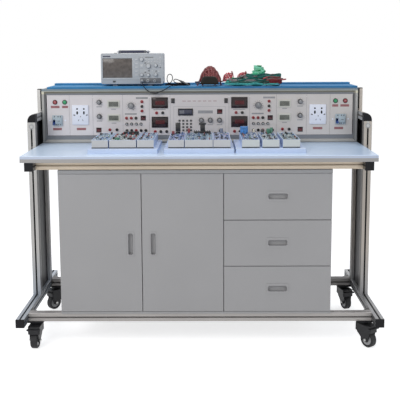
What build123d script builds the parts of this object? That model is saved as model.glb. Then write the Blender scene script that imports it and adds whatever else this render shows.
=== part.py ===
from build123d import *
import math
import os

# ------------------------------------------------------------------ frame
# X runs along the bench (the user's right is +X), Y runs from the user to
# the back, Z is up from the floor. All sizes are millimetres.

# ------------------------------------------------ driving sizes: structure
PROFILE = 40.0             # square aluminium extrusion
PROFILE_CORNER = 2.0       # outer corner radius of the extrusion
SLOT_MOUTH = 8.2           # T-slot opening
SLOT_LIP = 4.5             # metal above the T-slot chamber
SLOT_WIDE = 17.0           # chamber width under the lip
SLOT_NARROW = 8.0          # chamber width at its floor
SLOT_DEPTH = 12.5          # from the face to the chamber floor
ARM_ROUND = 34.0           # rounded shoulder of the arm extrusion
CAP = 3.0                  # plastic end cap thickness

CONSOLE_SIDE_GAP = 3.0     # console to the side frames
FOOT_LENGTH = 790.0
FOOT_BASE = 122.0          # underside of the foot above the floor
FRONT_OVERHANG = 20.0      # foot end ahead of the worktop edge
POST_SETBACK = 341.0       # worktop edge to the front post
REAR_SETBACK = 582.0       # worktop edge to the rear post
ARM_TOP = 1070.0
REAR_POST_TOP = 1180.0
BEARER_GAP = 18.0          # side frame to table bearer
BEARER_SETBACK = 8.0
BEARER_LENGTH = 735.0
UPPER_RAIL_SETBACK = 58.0
LOWER_RAIL_SETBACK = 66.0
LOWER_REAR_SETBACK = 600.0
UPPER_REAR_SETBACK = 660.0
INFILL_THICK = 5.0
INFILL_BITE = 9.0          # how far the infill runs into each slot

WORKTOP_TOP = 911.0
WORKTOP_THICK = 30.0
WORKTOP_DEPTH = 768.0
EDGE_GAP = 1.0             # worktop to side frame
NOSING_TOP = 9.0
NOSING_BOTTOM = 5.0

# --------------------------------------------------- driving sizes: castor
WHEEL_RADIUS = 38.0
WHEEL_WIDTH = 32.0
WHEEL_BORE = 5.05
AXLE_RADIUS = 5.0
CASTOR_TRAIL = 33.0
CASTOR_INSET = 33.0        # foot's inner face to the swivel axis
SWIVEL = {"front_left": -2.0, "front_right": 36.0, "rear_left": -40.0, "rear_right": 16.0}     # at rest
PLATE_X = 74.0
PLATE_Y = 60.0
PLATE_THICK = 4.0
RACE_RADIUS = 24.0
RACE_DEPTH = 9.0
RACE_GAP = 0.6             # upper race to the turning fork
KINGPIN = 5.0
FORK_CROWN = 28.0
FORK_SHEET = 3.5
FORK_SIDE_GAP = 2.0
HOOD_REACH = 30.0          # axle to the front of the hood over the wheel
HOOD_CORNER = 9.0
PEDAL_HALF = 32.0          # half width of the brake pedal
PEDAL_REACH = 8.0          # hood to the pedal's edge
PEDAL_THICK = 5.0

# -------------------------------------------------- driving sizes: cabinet
CAB_GAP_LEFT = 157.0       # side frame to cabinet
CAB_GAP_RIGHT = 193.0
CAB_DROP = 3.0             # table bearers' underside to the cabinet top
DRAWER_BAY = 495.0         # partition's centre to the cabinet's right side
DOOR_OFFSET = 1.5          # left door wider than the right one by twice this
CAB_FRONT_SETBACK = 59.0
CAB_BACK_SETBACK = 640.0
SHEET = 1.5
FRONT_THICK = 18.0         # doors and drawer fronts
HEAD_STRIP = 16.0
KICK_STRIP = 9.0
REVEAL = 3.0               # gap round every door and drawer front
BACK_GAP = 1.0             # door to carcass
HINGE_INSET = 5.0
HINGE_PIN = 3.0
HINGE_HOLE = 3.5
HINGE_REACH = 7.0
PARTITION = 18.0
SHELF_EDGE = 15.0
SHELF_RISE = 318.0         # cabinet base to the shelf
SHELF_DEPTH = 470.0
DRAWER_COUNT = 3
DRAWER_SIDE_GAP = 15.0     # room for a runner each side
DRAWER_DEPTH = 500.0
DRAWER_WALL_H = 140.0
DRAWER_LIFT = 28.0
RUNNER_H = 32.0
RUNNER_THICK = 11.0
PULL_CUP_DEPTH = 14.0
PULL_WALL = 1.6
PULL_LIP = 2.0
DOOR_PULL = (34.0, 114.0)
DOOR_PULL_MOUTH = (18.0, 96.0)
DOOR_PULL_DROP = 326.5
DOOR_PULL_INSET = 52.0
DRAWER_PULL = (102.0, 48.0)
DRAWER_PULL_MOUTH = (84.0, 22.0)
DRAWER_PULL_DROP = 105.0

# -------------------------------------------------- driving sizes: console
CONSOLE_SETBACK = 481.0
CONSOLE_DEPTH = 284.0
CONSOLE_HEIGHT = 274.0
FRAME_BAR = 22.0
FRAME_BAR_LOW = 17.0
FRAME_DEPTH = 24.0
FRAME_CORNER = 3.0
FRAME_BEVEL = 9.0          # width of the sloping inner border
FRAME_BEVEL_DEPTH = 7.0
PANEL_RECESS = 10.0
PANEL_THICK = 2.5
PANEL_SILL = 21.0          # lower frame bar to the panels
PANEL_HEAD = 9.0           # upper frame bar to the panels
PANEL_SIDE = 2.5           # side frame bars to the panels
PANEL_GAP = 1.0
PANEL_LAP = 6.0
POWER_WIDTH = 114.0
OUTLET_WIDTH = 118.0
LCD_PANEL_WIDTH = 152.0
SELECTOR_WIDTH = 135.0
LED_PANEL_WIDTH = 105.0
GENERATOR_WIDTH = 297.0
MAT_GAP_LEFT = 26.0        # console's side to the mat
MAT_GAP_RIGHT = 1.0
MAT_THICK = 9.0
MAT_MARGIN = 5.0
MAT_CORNER = 12.0
MAT_FOLD = 56.0            # turned-over strip along the back

# ------------------------------------------ driving sizes: panel equipment
BUTTON_RADIUS = 9.0
BUTTON_STAND = 5.0
BUTTON_TAIL = 9.0
BEZEL_RADIUS = 12.0
BEZEL_STAND = 2.5
SLIP = 0.5                 # moving piece to the hole that guides it
BREAKER = (50.0, 51.0)
BREAKER_STAND = 9.0
LEVER_WIDTH = 11.0
LEVER_TILT = 18.0
OUTLET = (84.0, 100.0)
OUTLET_STAND = 7.0
OUTLET_SLOT = (15.0, 4.4)
OUTLET_HOLE = 2.4
LCD = (62.0, 37.0)
LCD_STAND = 4.0
DISPLAY = (74.0, 34.0)
LED = (82.0, 55.0)
LED_STAND = 5.0
POT_KNOB = 13.0
SELECTOR_KNOB = 17.0
KNOB_GAP = 1.0
SHAFT = 3.0
ROCKER = (20.0, 14.0)
ROCKER_TILT = 8.0
ROCKER_PIN = 2.0
LEVER_PIN = 3.0
PIN_PROUD = 0.15           # pivot pin beyond the side of its rocker or lever
SOCKET_BASE = 6.0
SOCKET_BODY = 4.6
SOCKET_BORE = 2.05
SOCKET_STAND = 11.0
SOCKET_DEPTH = 9.0
SOCKET_PITCH = 24.0
SOCKET_ROWS = (24.0, 57.0, 87.0)       # above the panel's lower edge
SOCKET_COLUMN = (123.0, 146.0, 170.0)
KEY_PITCH = (19.5, 16.3)
KEY_SIZE = (10.0, 9.0, 1.5)

# ------------------------------------ driving sizes: inside the console
CORE = (90.0, 90.0, 92.0)  # transformer
CORE_GAP = 35.0            # transformer to the console's back
BOARD = 95.0               # width of a circuit board
BOARD_GAP = 35.0           # panel to board
BOARD_HEAD = 40.0

# --------------------------------------------- driving sizes: loose pieces
TRAY = (320.0, 360.0, 20.0)
TRAY_WALL = 3.0
TRAY_SETBACK = 78.0
TRAY_CENTRES = (-348.0, 1.0, 328.5)
TRAY_LIP = 2.0
MODULE_DEPTH = 306.0
MODULE_FRONT = 38.0        # tray's front edge to the modules
MODULE_H = 38.0
MODULE_WALL = 2.5
BOARD_SINK = 2.0
MODULE_SPANS = (((-494, -418), (-413, -289), (-285, -207)),
                ((-142, -68), (-65, 64), (66, 146)),
                ((197, 279), (291, 370), (385, 465)))

SCOPE = (321.0, 128.0, 157.0)
SCOPE_LEFT = -506.0
SCOPE_SETBACK = 575.0
SCOPE_FOOT = 10.0
SCOPE_CORNER = 8.0
SCOPE_FEET = (70.0, 250.0)             # from its left side
SCREEN = (9.0, 31.0, 153.0, 101.0)     # left, low, width, height on the front
SCOPE_KNOBS = ((210.0, 126.0, 9.0), (244.0, 92.0, 11.0), (282.0, 95.0, 8.0),
               (210.0, 47.0, 8.0), (243.0, 46.0, 8.0), (281.0, 48.0, 8.0))     # across, up, radius
SCOPE_INPUTS = (240.0, 275.0)
PROBE_INPUT = 213.0
INPUT_RISE = 17.0
INPUT_RADIUS = 6.0
INPUT_STAND = 12.0
SOFT_KEYS = (176.0, 42.0, 20.0)        # across, lowest one, pitch
SCOPE_FOOT_INSET = 25.0
HANDLE_SPAN = 152.0
HANDLE_REACH = 62.0
HANDLE_THICK = 9.0
HANDLE_BAR = 14.5          # height of the grip bar
HANDLE_REST = 1.3          # grip bar above the case
HANDLE_INSET = 31.0
HANDLE_LIFT = 7.0
HANDLE_PIN = 2.0
EAR = 10.0

LEAD_RADIUS = 2.0
PLUG_LENGTH = 25.0
PLUG_RADIUS = 7.0
COIL_CENTRE = (-110.0, 190.0)
COIL_OUTER = (148.0, 68.0)
COIL_INNER = (100.0, 22.0)
COIL_HEIGHT = 15.0
LOOPS = ((-153.0, 28.0, 69.0), (-97.0, 58.0, 44.0))     # X, width, top above the mat
LOOP_BEHIND = 19.0
GRIP_SPOT = (34.0, -13.0)
RED_HEAP = (52.0, 205.0, 62.0, 90.0)       # X, Y, radius, height
RED_HUMPS = ((150.0, 229.0, 31.0, 52.0), (223.0, 229.0, 31.0, 52.0))
TEAL_BUNDLE = (124.0, 414.0, 165.0, 74.0, 44.0)    # X from, X to, Y, depth, height
TEAL_LUMP = (302.0, 205.0, 36.0, 84.0)
POUCH = (9.0, 91.0, 116.0, 152.0, 40.0)    # X from, X to, Y from, Y to, height

# ------------------------------------------------------------ derived sizes
PANEL_WIDTHS = (POWER_WIDTH, OUTLET_WIDTH, LCD_PANEL_WIDTH, SELECTOR_WIDTH, LED_PANEL_WIDTH, GENERATOR_WIDTH,
                LED_PANEL_WIDTH, SELECTOR_WIDTH, LCD_PANEL_WIDTH, OUTLET_WIDTH, POWER_WIDTH)
PANEL_SPAN = sum(PANEL_WIDTHS)
CONSOLE_HALF = PANEL_SPAN / 2 + PANEL_SIDE + FRAME_BAR
INNER_HALF = CONSOLE_HALF + CONSOLE_SIDE_GAP       # half distance between the two side frames
CONSOLE_TOP = WORKTOP_TOP + CONSOLE_HEIGHT
PANEL_BOTTOM = WORKTOP_TOP + FRAME_BAR_LOW + PANEL_SILL
PANEL_TOP = CONSOLE_TOP - FRAME_BAR - PANEL_HEAD
WORKTOP_EDGE = -FOOT_LENGTH / 2 + FRONT_OVERHANG
FOOT_TOP = FOOT_BASE + PROFILE
POST_X = INNER_HALF + PROFILE / 2
ARM_BASE = ARM_TOP - PROFILE
WORKTOP_BASE = WORKTOP_TOP - WORKTOP_THICK
POST_Y = WORKTOP_EDGE + POST_SETBACK + PROFILE / 2
REAR_Y = WORKTOP_EDGE + REAR_SETBACK + PROFILE / 2
BEARER_X = INNER_HALF - BEARER_GAP - PROFILE / 2
BEARER_Y0 = WORKTOP_EDGE + BEARER_SETBACK
RAIL_UP_Z = WORKTOP_BASE - PROFILE / 2
RAIL_LOW_Z = FOOT_BASE + PROFILE / 2
CAB_LEFT = -INNER_HALF + CAB_GAP_LEFT
CAB_RIGHT = INNER_HALF - CAB_GAP_RIGHT
CAB_TOP = WORKTOP_BASE - PROFILE - CAB_DROP
CAB_SPLIT = CAB_RIGHT - DRAWER_BAY                 # centre of the partition
DOOR_SPLIT = (CAB_LEFT + CAB_SPLIT) / 2 + DOOR_OFFSET
CAB_FRONT = WORKTOP_EDGE + CAB_FRONT_SETBACK
CAB_BACK = WORKTOP_EDGE + CAB_BACK_SETBACK
CARCASS_FRONT = CAB_FRONT + FRONT_THICK + BACK_GAP
CAB_BASE = FOOT_TOP
FRONTS_TOP = CAB_TOP - HEAD_STRIP - REVEAL / 2
FRONTS_BASE = CAB_BASE + KICK_STRIP + REVEAL / 2
SHELF_Z = CAB_BASE + SHELF_RISE
DOOR_PULL_Z = FRONTS_TOP - DOOR_PULL_DROP
CONSOLE_FRONT = WORKTOP_EDGE + CONSOLE_SETBACK
CONSOLE_BACK = CONSOLE_FRONT + CONSOLE_DEPTH
PANEL_FACE = CONSOLE_FRONT + PANEL_RECESS
PANEL_REAR = PANEL_FACE + PANEL_THICK
MAT_TOP = CONSOLE_TOP + MAT_THICK


# ------------------------------------------------------------ small helpers
def block(x0, x1, y0, y1, z0, z1):
    """Plain box between two opposite corners, in either order."""
    size = Box(abs(x1 - x0), abs(y1 - y0), abs(z1 - z0))
    return Pos((x0 + x1) / 2, (y0 + y1) / 2, (z0 + z1) / 2) * size


def save(node, solids):
    """Write one node; every physical piece stays a solid of its own."""
    pieces = [piece for group in solids for piece in group.solids()]
    export_step(Compound(children=pieces), "parts/" + node + ".step")


def both_sides(shape):
    """A piece of the right-hand side and its mirror image on the left."""
    return [shape, mirror(shape, about=Plane.YZ)]


def facing(x, y, z):
    """Workplane on the console's face: local Z points at the user."""
    return Location((x, y, z), (90, 0, 0))


def disc(x, y, z, radius, depth):
    """Cylinder standing out of a face at y towards the user."""
    return facing(x, y, z) * Cylinder(radius, depth, align=(Align.CENTER, Align.CENTER, Align.MIN))


# ---------------------------------------------------------------- extrusion
def slot_outline():
    """T-slot of the extrusion, cut downwards from the top face."""
    half = PROFILE / 2
    side = [(SLOT_MOUTH / 2, half + 1), (SLOT_MOUTH / 2, half - SLOT_LIP),
            (SLOT_WIDE / 2, half - SLOT_LIP), (SLOT_WIDE / 2, half - SLOT_LIP - 2.5),
            (SLOT_NARROW / 2, half - SLOT_DEPTH)]
    other = [(-x, y) for x, y in reversed(side)]
    return make_face(Polyline(*side, *other, close=True))


def extrusion_outline(slots=(0, 90, 180, 270)):
    """Cross-section with a slot on each stated side, by angle."""
    outline = RectangleRounded(PROFILE, PROFILE, PROFILE_CORNER)
    for angle in slots:
        outline -= Rot(0, 0, angle) * slot_outline()
    return outline


def rail_x(x0, x1, y, z):
    """Extrusion lying along X."""
    plane = Plane(origin=(x0, y, z), x_dir=(0, 1, 0), z_dir=(1, 0, 0))
    return extrude(plane * extrusion_outline(), x1 - x0)


def rail_y(x, y0, y1, z):
    """Extrusion lying along Y."""
    plane = Plane(origin=(x, y0, z), x_dir=(-1, 0, 0), z_dir=(0, 1, 0))
    return extrude(plane * extrusion_outline(), y1 - y0)


def post(x, y, z0, z1):
    """Upright extrusion."""
    return Pos(x, y, z0) * extrude(extrusion_outline(), z1 - z0)


def arm():
    """Round-shouldered arm between the front post and the rear post."""
    plane = Plane(origin=(POST_X, POST_Y + PROFILE / 2, ARM_TOP - PROFILE / 2),
                  x_dir=(-1, 0, 0), z_dir=(0, 1, 0))
    bar = extrude(plane * extrusion_outline((180, 90)), REAR_SETBACK - POST_SETBACK - PROFILE)
    corner = bar.edges().filter_by(Axis.Y).sort_by(lambda e: e.center().X + e.center().Z)[-1]
    shoulder = Plane(origin=(POST_X + PROFILE / 2 - ARM_ROUND, POST_Y, ARM_TOP - ARM_ROUND),
                     x_dir=(1, 0, 0), z_dir=(0, 1, 0))
    waste = Rectangle(2 * ARM_ROUND, 2 * ARM_ROUND) - Circle(ARM_ROUND)
    waste &= Pos(ARM_ROUND / 2, -ARM_ROUND / 2) * Rectangle(ARM_ROUND, ARM_ROUND)
    return bar - extrude(shoulder * waste, REAR_SETBACK)


def make_side_frames():
    y0, y1 = -FOOT_LENGTH / 2 + CAP, FOOT_LENGTH / 2 - CAP
    foot = rail_y(POST_X, y0, y1, RAIL_LOW_Z)
    front = post(POST_X, POST_Y, FOOT_TOP, ARM_BASE)
    rear = post(POST_X, REAR_Y, FOOT_TOP, REAR_POST_TOP - CAP)
    bearer = rail_y(BEARER_X, BEARER_Y0 + CAP, BEARER_Y0 + BEARER_LENGTH - CAP, RAIL_UP_Z)
    return [s for piece in (foot, front, rear, bearer, arm()) for s in both_sides(piece)]


def make_cross_rails():
    half = PROFILE / 2
    inner = BEARER_X - half
    return [rail_x(-inner, inner, WORKTOP_EDGE + UPPER_RAIL_SETBACK + half, RAIL_UP_Z),
            rail_x(-inner, inner, WORKTOP_EDGE + UPPER_REAR_SETBACK + half, RAIL_UP_Z),
            rail_x(-INNER_HALF, INNER_HALF, WORKTOP_EDGE + LOWER_RAIL_SETBACK + half, RAIL_LOW_Z),
            rail_x(-INNER_HALF, INNER_HALF, WORKTOP_EDGE + LOWER_REAR_SETBACK + half, RAIL_LOW_Z)]


def cap_y(x, y0, z):
    cap = Pos(x, y0 + CAP / 2, z) * Box(PROFILE, CAP, PROFILE)
    return fillet(cap.edges().filter_by(Axis.Y), PROFILE_CORNER)


def elbow():
    """Moulded corner between the front post and the arm."""
    body = Pos(POST_X, POST_Y, ARM_TOP - PROFILE / 2) * Box(PROFILE, PROFILE, PROFILE)
    outer = body.edges().filter_by(Axis.Y).sort_by(lambda e: e.center().X + e.center().Z)[-1]
    body = fillet(outer, ARM_ROUND)
    rim = body.faces().sort_by(Axis.Y)[0].edges().filter_by(lambda e: e.center().Z > ARM_BASE + 1)
    rim = [e for e in rim if e.center().X > INNER_HALF + 1]
    return fillet(rim, 6)


def make_black_fittings():
    end = FOOT_LENGTH / 2
    pieces = [cap_y(POST_X, -end, RAIL_LOW_Z), cap_y(POST_X, end - CAP, RAIL_LOW_Z),
              cap_y(BEARER_X, BEARER_Y0, RAIL_UP_Z),
              cap_y(BEARER_X, BEARER_Y0 + BEARER_LENGTH - CAP, RAIL_UP_Z)]
    top = Pos(POST_X, REAR_Y, REAR_POST_TOP - CAP / 2) * Box(PROFILE, PROFILE, CAP)
    pieces += [fillet(top.edges().filter_by(Axis.Z), PROFILE_CORNER), elbow()]
    return [s for piece in pieces for s in both_sides(piece)]


def corner_bracket(x, y, z, flip):
    """Die-cast angle in the corner behind a cross rail."""
    leg, plate, web = 36.0, 4.0, 4.0
    along_foot = block(x - plate, x, y, y + flip * leg, z - leg / 2, z + leg / 2)
    along_rail = block(x - leg, x, y, y + flip * plate, z - leg / 2, z + leg / 2)
    rib = make_face(Polyline((x, y), (x - leg, y), (x, y + flip * leg), close=True))
    webs = [Pos(0, 0, z + side * (leg / 2) - (web if side > 0 else 0)) * extrude(rib, web)
            for side in (-1, 1)]
    return along_foot + along_rail + webs[0] + webs[1]


def make_brackets():
    half = PROFILE / 2
    front = WORKTOP_EDGE + LOWER_RAIL_SETBACK + PROFILE
    rear = WORKTOP_EDGE + LOWER_REAR_SETBACK
    top_front = WORKTOP_EDGE + UPPER_RAIL_SETBACK + PROFILE
    top_rear = WORKTOP_EDGE + UPPER_REAR_SETBACK
    inner = BEARER_X - half
    pieces = [corner_bracket(INNER_HALF, front, RAIL_LOW_Z, 1),
              corner_bracket(INNER_HALF, rear + PROFILE, RAIL_LOW_Z, 1),
              corner_bracket(inner, top_front, RAIL_UP_Z, 1),
              corner_bracket(inner, top_rear, RAIL_UP_Z, -1)]
    for y in (POST_Y, REAR_Y):
        pieces.append(block(INNER_HALF - BEARER_GAP, INNER_HALF, y - half + 1, y + half - 1,
                            RAIL_UP_Z - half + 1, RAIL_UP_Z + half - 1))
    cover = disc(POST_X, POST_Y - half, ARM_BASE - 21, 12, 1.8)
    strip = block(POST_X - SLOT_MOUTH / 2 + 0.1, POST_X + SLOT_MOUTH / 2 - 0.1,
                  POST_Y - half - 1, POST_Y - half + 3, ARM_BASE - 21, ARM_BASE)
    pieces.append(cover + strip)
    return [s for piece in pieces for s in both_sides(piece)]


def make_infill_panels():
    x0, x1 = POST_X - INFILL_THICK / 2, POST_X + INFILL_THICK / 2
    front = POST_Y + PROFILE / 2
    panel = block(x0, x1, front - INFILL_BITE, REAR_Y - PROFILE / 2 + INFILL_BITE,
                  FOOT_TOP - INFILL_BITE, ARM_BASE + INFILL_BITE)
    panel -= block(x0 - 1, x1 + 1, front - INFILL_BITE - 1, front + 1, ARM_BASE - 1, ARM_TOP)
    return both_sides(panel)


def make_worktop():
    half = INNER_HALF - EDGE_GAP
    top = block(-half, half, WORKTOP_EDGE, WORKTOP_EDGE + WORKTOP_DEPTH, WORKTOP_BASE, WORKTOP_TOP)
    nose = top.faces().sort_by(Axis.Y)[0].edges().filter_by(Axis.X)
    top = fillet(nose.sort_by(Axis.Z)[-1], NOSING_TOP)
    lower = top.faces().sort_by(Axis.Z)[0].edges().filter_by(Axis.X).sort_by(Axis.Y)[0]
    return [fillet(lower, NOSING_BOTTOM)]


# ------------------------------------------------------------------ castors
def castor_spots():
    x = INNER_HALF - CASTOR_INSET
    front = WORKTOP_EDGE + LOWER_RAIL_SETBACK + PROFILE / 2
    rear = WORKTOP_EDGE + LOWER_REAR_SETBACK + PROFILE / 2
    return {"front_left": (-x, front), "front_right": (x, front),
            "rear_left": (-x, rear), "rear_right": (x, rear)}


def swung(corner, pieces):
    """Fork or wheel turned about its kingpin to where the castor rests."""
    x, y = castor_spots()[corner]
    return [Pos(x, y, 0) * Rot(0, 0, SWIVEL[corner]) * Pos(-x, -y, 0) * piece for piece in pieces]


def make_castor_plates():
    pieces = []
    for x, y in castor_spots().values():
        plate = Pos(x, y, FOOT_BASE - PLATE_THICK / 2) * Box(PLATE_X, PLATE_Y, PLATE_THICK)
        plate = fillet(plate.edges().filter_by(Axis.Z), 6)
        race = Pos(x, y, FOOT_BASE - PLATE_THICK - RACE_DEPTH / 2) * Cylinder(RACE_RADIUS, RACE_DEPTH)
        bore = Pos(x, y, FOOT_BASE - PLATE_THICK - RACE_DEPTH / 2) * Cylinder(KINGPIN + SLIP, RACE_DEPTH)
        pieces.append(plate + race - bore)
        for sx in (-1, 1):
            bolt = Pos(x + sx * (PLATE_X / 2 - 7), y, FOOT_BASE - PLATE_THICK)
            pieces.append(bolt * extrude(RegularPolygon(5.5, 6), -5))
    return pieces


def make_fork(x, y):
    """Turning half: kingpin, hooded crown, two cheeks, the axle and the brake pedal."""
    z_axle = WHEEL_RADIUS
    y_axle = y - CASTOR_TRAIL
    crown_top = FOOT_BASE - PLATE_THICK - RACE_DEPTH - RACE_GAP
    cheek_in = WHEEL_WIDTH / 2 + FORK_SIDE_GAP
    cheek_out = cheek_in + FORK_SHEET
    arch = z_axle + WHEEL_RADIUS + 6
    nose = y_axle - HOOD_REACH
    side = make_face(Polyline((y + FORK_CROWN, crown_top), (y - FORK_CROWN, crown_top),
                              (y_axle - 22, arch - 12), (y_axle - 20, z_axle + 12),
                              (y_axle - 9, z_axle - 10), (y_axle + 9, z_axle - 10),
                              (y + 18, arch - 18), (y + FORK_CROWN, arch), close=True))
    plane = Plane(origin=(x - cheek_out, 0, 0), x_dir=(0, 1, 0), z_dir=(1, 0, 0))
    hood = block(x - FORK_CROWN, x + FORK_CROWN, nose, y + FORK_CROWN, arch - 8, crown_top)
    body = extrude(plane * side, 2 * cheek_out) + fillet(hood.edges().filter_by(Axis.Z), HOOD_CORNER)
    well = Plane(origin=(x - cheek_in, 0, 0), x_dir=(0, 1, 0), z_dir=(1, 0, 0))
    hollow = well * (Pos(y_axle, z_axle) * Circle(WHEEL_RADIUS + 4))
    low = block(x - cheek_in, x + cheek_in, y - 90, y + 60, z_axle - 30, z_axle + 24)
    body -= extrude(hollow, 2 * cheek_in) + low
    lip = block(x - PEDAL_HALF, x + PEDAL_HALF, nose - PEDAL_REACH, nose + PEDAL_REACH,
                crown_top - 3 * PEDAL_THICK, crown_top - 2 * PEDAL_THICK)
    body += fillet(lip.edges().filter_by(Axis.Z), PEDAL_THICK)
    pin = Pos(x, y, crown_top + 3) * Cylinder(KINGPIN, 12)
    axle = Pos(x, y_axle, z_axle) * Rot(0, 90, 0) * Cylinder(AXLE_RADIUS, 2 * cheek_out + 6)
    return [body + pin + axle]


def make_wheel(x, y):
    r, w = WHEEL_RADIUS, WHEEL_WIDTH / 2
    section = make_face(Polyline((WHEEL_BORE, -w), (WHEEL_BORE + 6, -w), (WHEEL_BORE + 7, -w + 4),
                                 (r - 12, -w + 4), (r - 9, -w), (r - 4, -w), (r, -w + 5),
                                 (r, w - 5), (r - 4, w), (r - 9, w), (r - 12, w - 4),
                                 (WHEEL_BORE + 7, w - 4), (WHEEL_BORE + 6, w), (WHEEL_BORE, w),
                                 close=True))
    ring = revolve(Plane.XZ * section, Axis.Z)
    return [Pos(x, y - CASTOR_TRAIL, WHEEL_RADIUS) * Rot(0, 90, 0) * ring]


# ------------------------------------------------------------------ cabinet
def front_zones():
    """Height range of each drawer front, top one first."""
    step = (FRONTS_TOP - FRONTS_BASE + REVEAL) / DRAWER_COUNT
    return [(FRONTS_TOP - (i + 1) * step + REVEAL, FRONTS_TOP - i * step)
            for i in range(DRAWER_COUNT)]


def hinge_axes():
    """Pivot of each door: X position, and the side its panel lies on."""
    left = CAB_LEFT + HINGE_INSET
    right = CAB_SPLIT - REVEAL / 2 - HINGE_INSET
    return left, right


def make_cabinet_carcass():
    s = SHEET
    y_back = CAB_BACK
    shell = block(CAB_LEFT, CAB_RIGHT, CARCASS_FRONT, y_back, CAB_BASE, CAB_TOP)
    shell -= block(CAB_LEFT + s, CAB_RIGHT - s, CARCASS_FRONT - 1, y_back - s, CAB_BASE + s, CAB_TOP - s)
    head = block(CAB_LEFT, CAB_RIGHT, CAB_FRONT, CARCASS_FRONT, CAB_TOP - HEAD_STRIP, CAB_TOP)
    kick = block(CAB_LEFT, CAB_RIGHT, CAB_FRONT, CARCASS_FRONT, CAB_BASE, CAB_BASE + KICK_STRIP)
    for x in hinge_axes():
        y = CAB_FRONT + HINGE_INSET
        head -= Pos(x, y, CAB_TOP - HEAD_STRIP) * Cylinder(HINGE_HOLE, 2 * HINGE_REACH + 2)
        kick -= Pos(x, y, CAB_BASE + KICK_STRIP) * Cylinder(HINGE_HOLE, 2 * HINGE_REACH + 2)
    shell += head + kick
    wall = PARTITION / 2
    partition = block(CAB_SPLIT - wall, CAB_SPLIT + wall, CARCASS_FRONT, y_back - s,
                      CAB_BASE + s, CAB_TOP - s)
    partition -= block(CAB_SPLIT - wall + s, CAB_SPLIT + wall - s, CARCASS_FRONT + s, y_back - 2 * s,
                       CAB_BASE + 2 * s, CAB_TOP - 2 * s)
    shelf = block(CAB_LEFT + s, CAB_SPLIT - wall, y_back - s - SHELF_DEPTH, y_back - s,
                  SHELF_Z, SHELF_Z + SHELF_EDGE)
    shelf -= block(CAB_LEFT + 2 * s, CAB_SPLIT - wall - s, y_back - SHELF_DEPTH, y_back - 2 * s,
                   SHELF_Z - 1, SHELF_Z + SHELF_EDGE - s)
    return [shell, partition, shelf]


def make_drawer_runners():
    x0, x1 = CAB_SPLIT + PARTITION / 2, CAB_RIGHT - SHEET
    pieces = []
    for z0, z1 in front_zones():
        z = z0 + DRAWER_LIFT + DRAWER_WALL_H / 2
        for edge, inward in ((x0, 1), (x1, -1)):
            a, b = sorted((edge, edge + inward * RUNNER_THICK))
            bar = block(a, b, CARCASS_FRONT + 2, CARCASS_FRONT + 2 + DRAWER_DEPTH,
                        z - RUNNER_H / 2, z + RUNNER_H / 2)
            face = sorted((edge + inward * RUNNER_THICK, edge + inward * (RUNNER_THICK - 5)))
            groove = block(face[0], face[1], CARCASS_FRONT, CARCASS_FRONT + 4 + DRAWER_DEPTH,
                           z - RUNNER_H / 2 + 6, z + RUNNER_H / 2 - 6)
            pieces.append(bar - groove)
    return pieces


def pan(x0, x1, z0, z1):
    """Folded steel front: skin, four returns and a closing back sheet."""
    y0, y1 = CAB_FRONT, CAB_FRONT + FRONT_THICK
    body = block(x0, x1, y0, y1, z0, z1)
    front_edges = body.faces().sort_by(Axis.Y)[0].edges()
    body = fillet(front_edges, 1.2)
    s = SHEET
    return body - block(x0 + s, x1 - s, y0 + s, y1 - s, z0 + s, z1 - s)


def pull_cup(cx, cz, outer, mouth, shift):
    """Moulded flush pull: flange on the face and a cup behind it."""
    y0 = CAB_FRONT
    flange = Pos(cx, y0 - PULL_LIP / 2, cz) * Box(outer[0], PULL_LIP, outer[1])
    flange = fillet(flange.edges().filter_by(Axis.Y), 4)
    cup_x, cup_z = cx + shift[0], cz + shift[1]
    w, h = mouth[0] + 2 * PULL_WALL, mouth[1] + 2 * PULL_WALL
    cup = block(cup_x - w / 2, cup_x + w / 2, y0, y0 + PULL_CUP_DEPTH, cup_z - h / 2, cup_z + h / 2)
    hollow = block(cup_x - mouth[0] / 2, cup_x + mouth[0] / 2, y0 - PULL_LIP - 1,
                   y0 + PULL_CUP_DEPTH - PULL_WALL, cup_z - mouth[1] / 2, cup_z + mouth[1] / 2)
    cut = block(cup_x - w / 2, cup_x + w / 2, y0 - 1, y0 + PULL_CUP_DEPTH,
                cup_z - h / 2, cup_z + h / 2)
    return flange + cup - hollow, cut


def make_door(x0, x1, pull_x, pivot_x):
    body = pan(x0, x1, FRONTS_BASE, FRONTS_TOP)
    cup, cut = pull_cup(pull_x, DOOR_PULL_Z, DOOR_PULL, DOOR_PULL_MOUTH, (0, 0))
    body -= cut
    y = CAB_FRONT + HINGE_INSET
    for z in (FRONTS_BASE, FRONTS_TOP):
        body += Pos(pivot_x, y, z) * Cylinder(HINGE_PIN, 2 * HINGE_REACH)
    return [body, cup]


def make_drawer(z0, z1):
    x0, x1 = CAB_SPLIT + REVEAL / 2, CAB_RIGHT - 0.5
    body = pan(x0, x1, z0, z1)
    cup, cut = pull_cup((x0 + x1) / 2, z1 - DRAWER_PULL_DROP, DRAWER_PULL, DRAWER_PULL_MOUTH, (0, 0))
    body -= cut
    a, b = CAB_SPLIT + PARTITION / 2 + DRAWER_SIDE_GAP, CAB_RIGHT - SHEET - DRAWER_SIDE_GAP
    y0, y1 = CAB_FRONT + FRONT_THICK, CAB_FRONT + FRONT_THICK + DRAWER_DEPTH
    base = z0 + DRAWER_LIFT
    box = block(a, b, y0, y1, base, base + DRAWER_WALL_H)
    box -= block(a + SHEET, b - SHEET, y0 + SHEET, y1 - SHEET, base + SHEET, base + DRAWER_WALL_H + 1)
    z = base + DRAWER_WALL_H / 2
    for edge, out in ((a, -1), (b, 1)):
        p, q = sorted((edge, edge + out * 7.5))
        box += block(p, q, y0 + 60, y1 - 2, z - 8, z + 8)
    return [body, cup, box]


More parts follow.
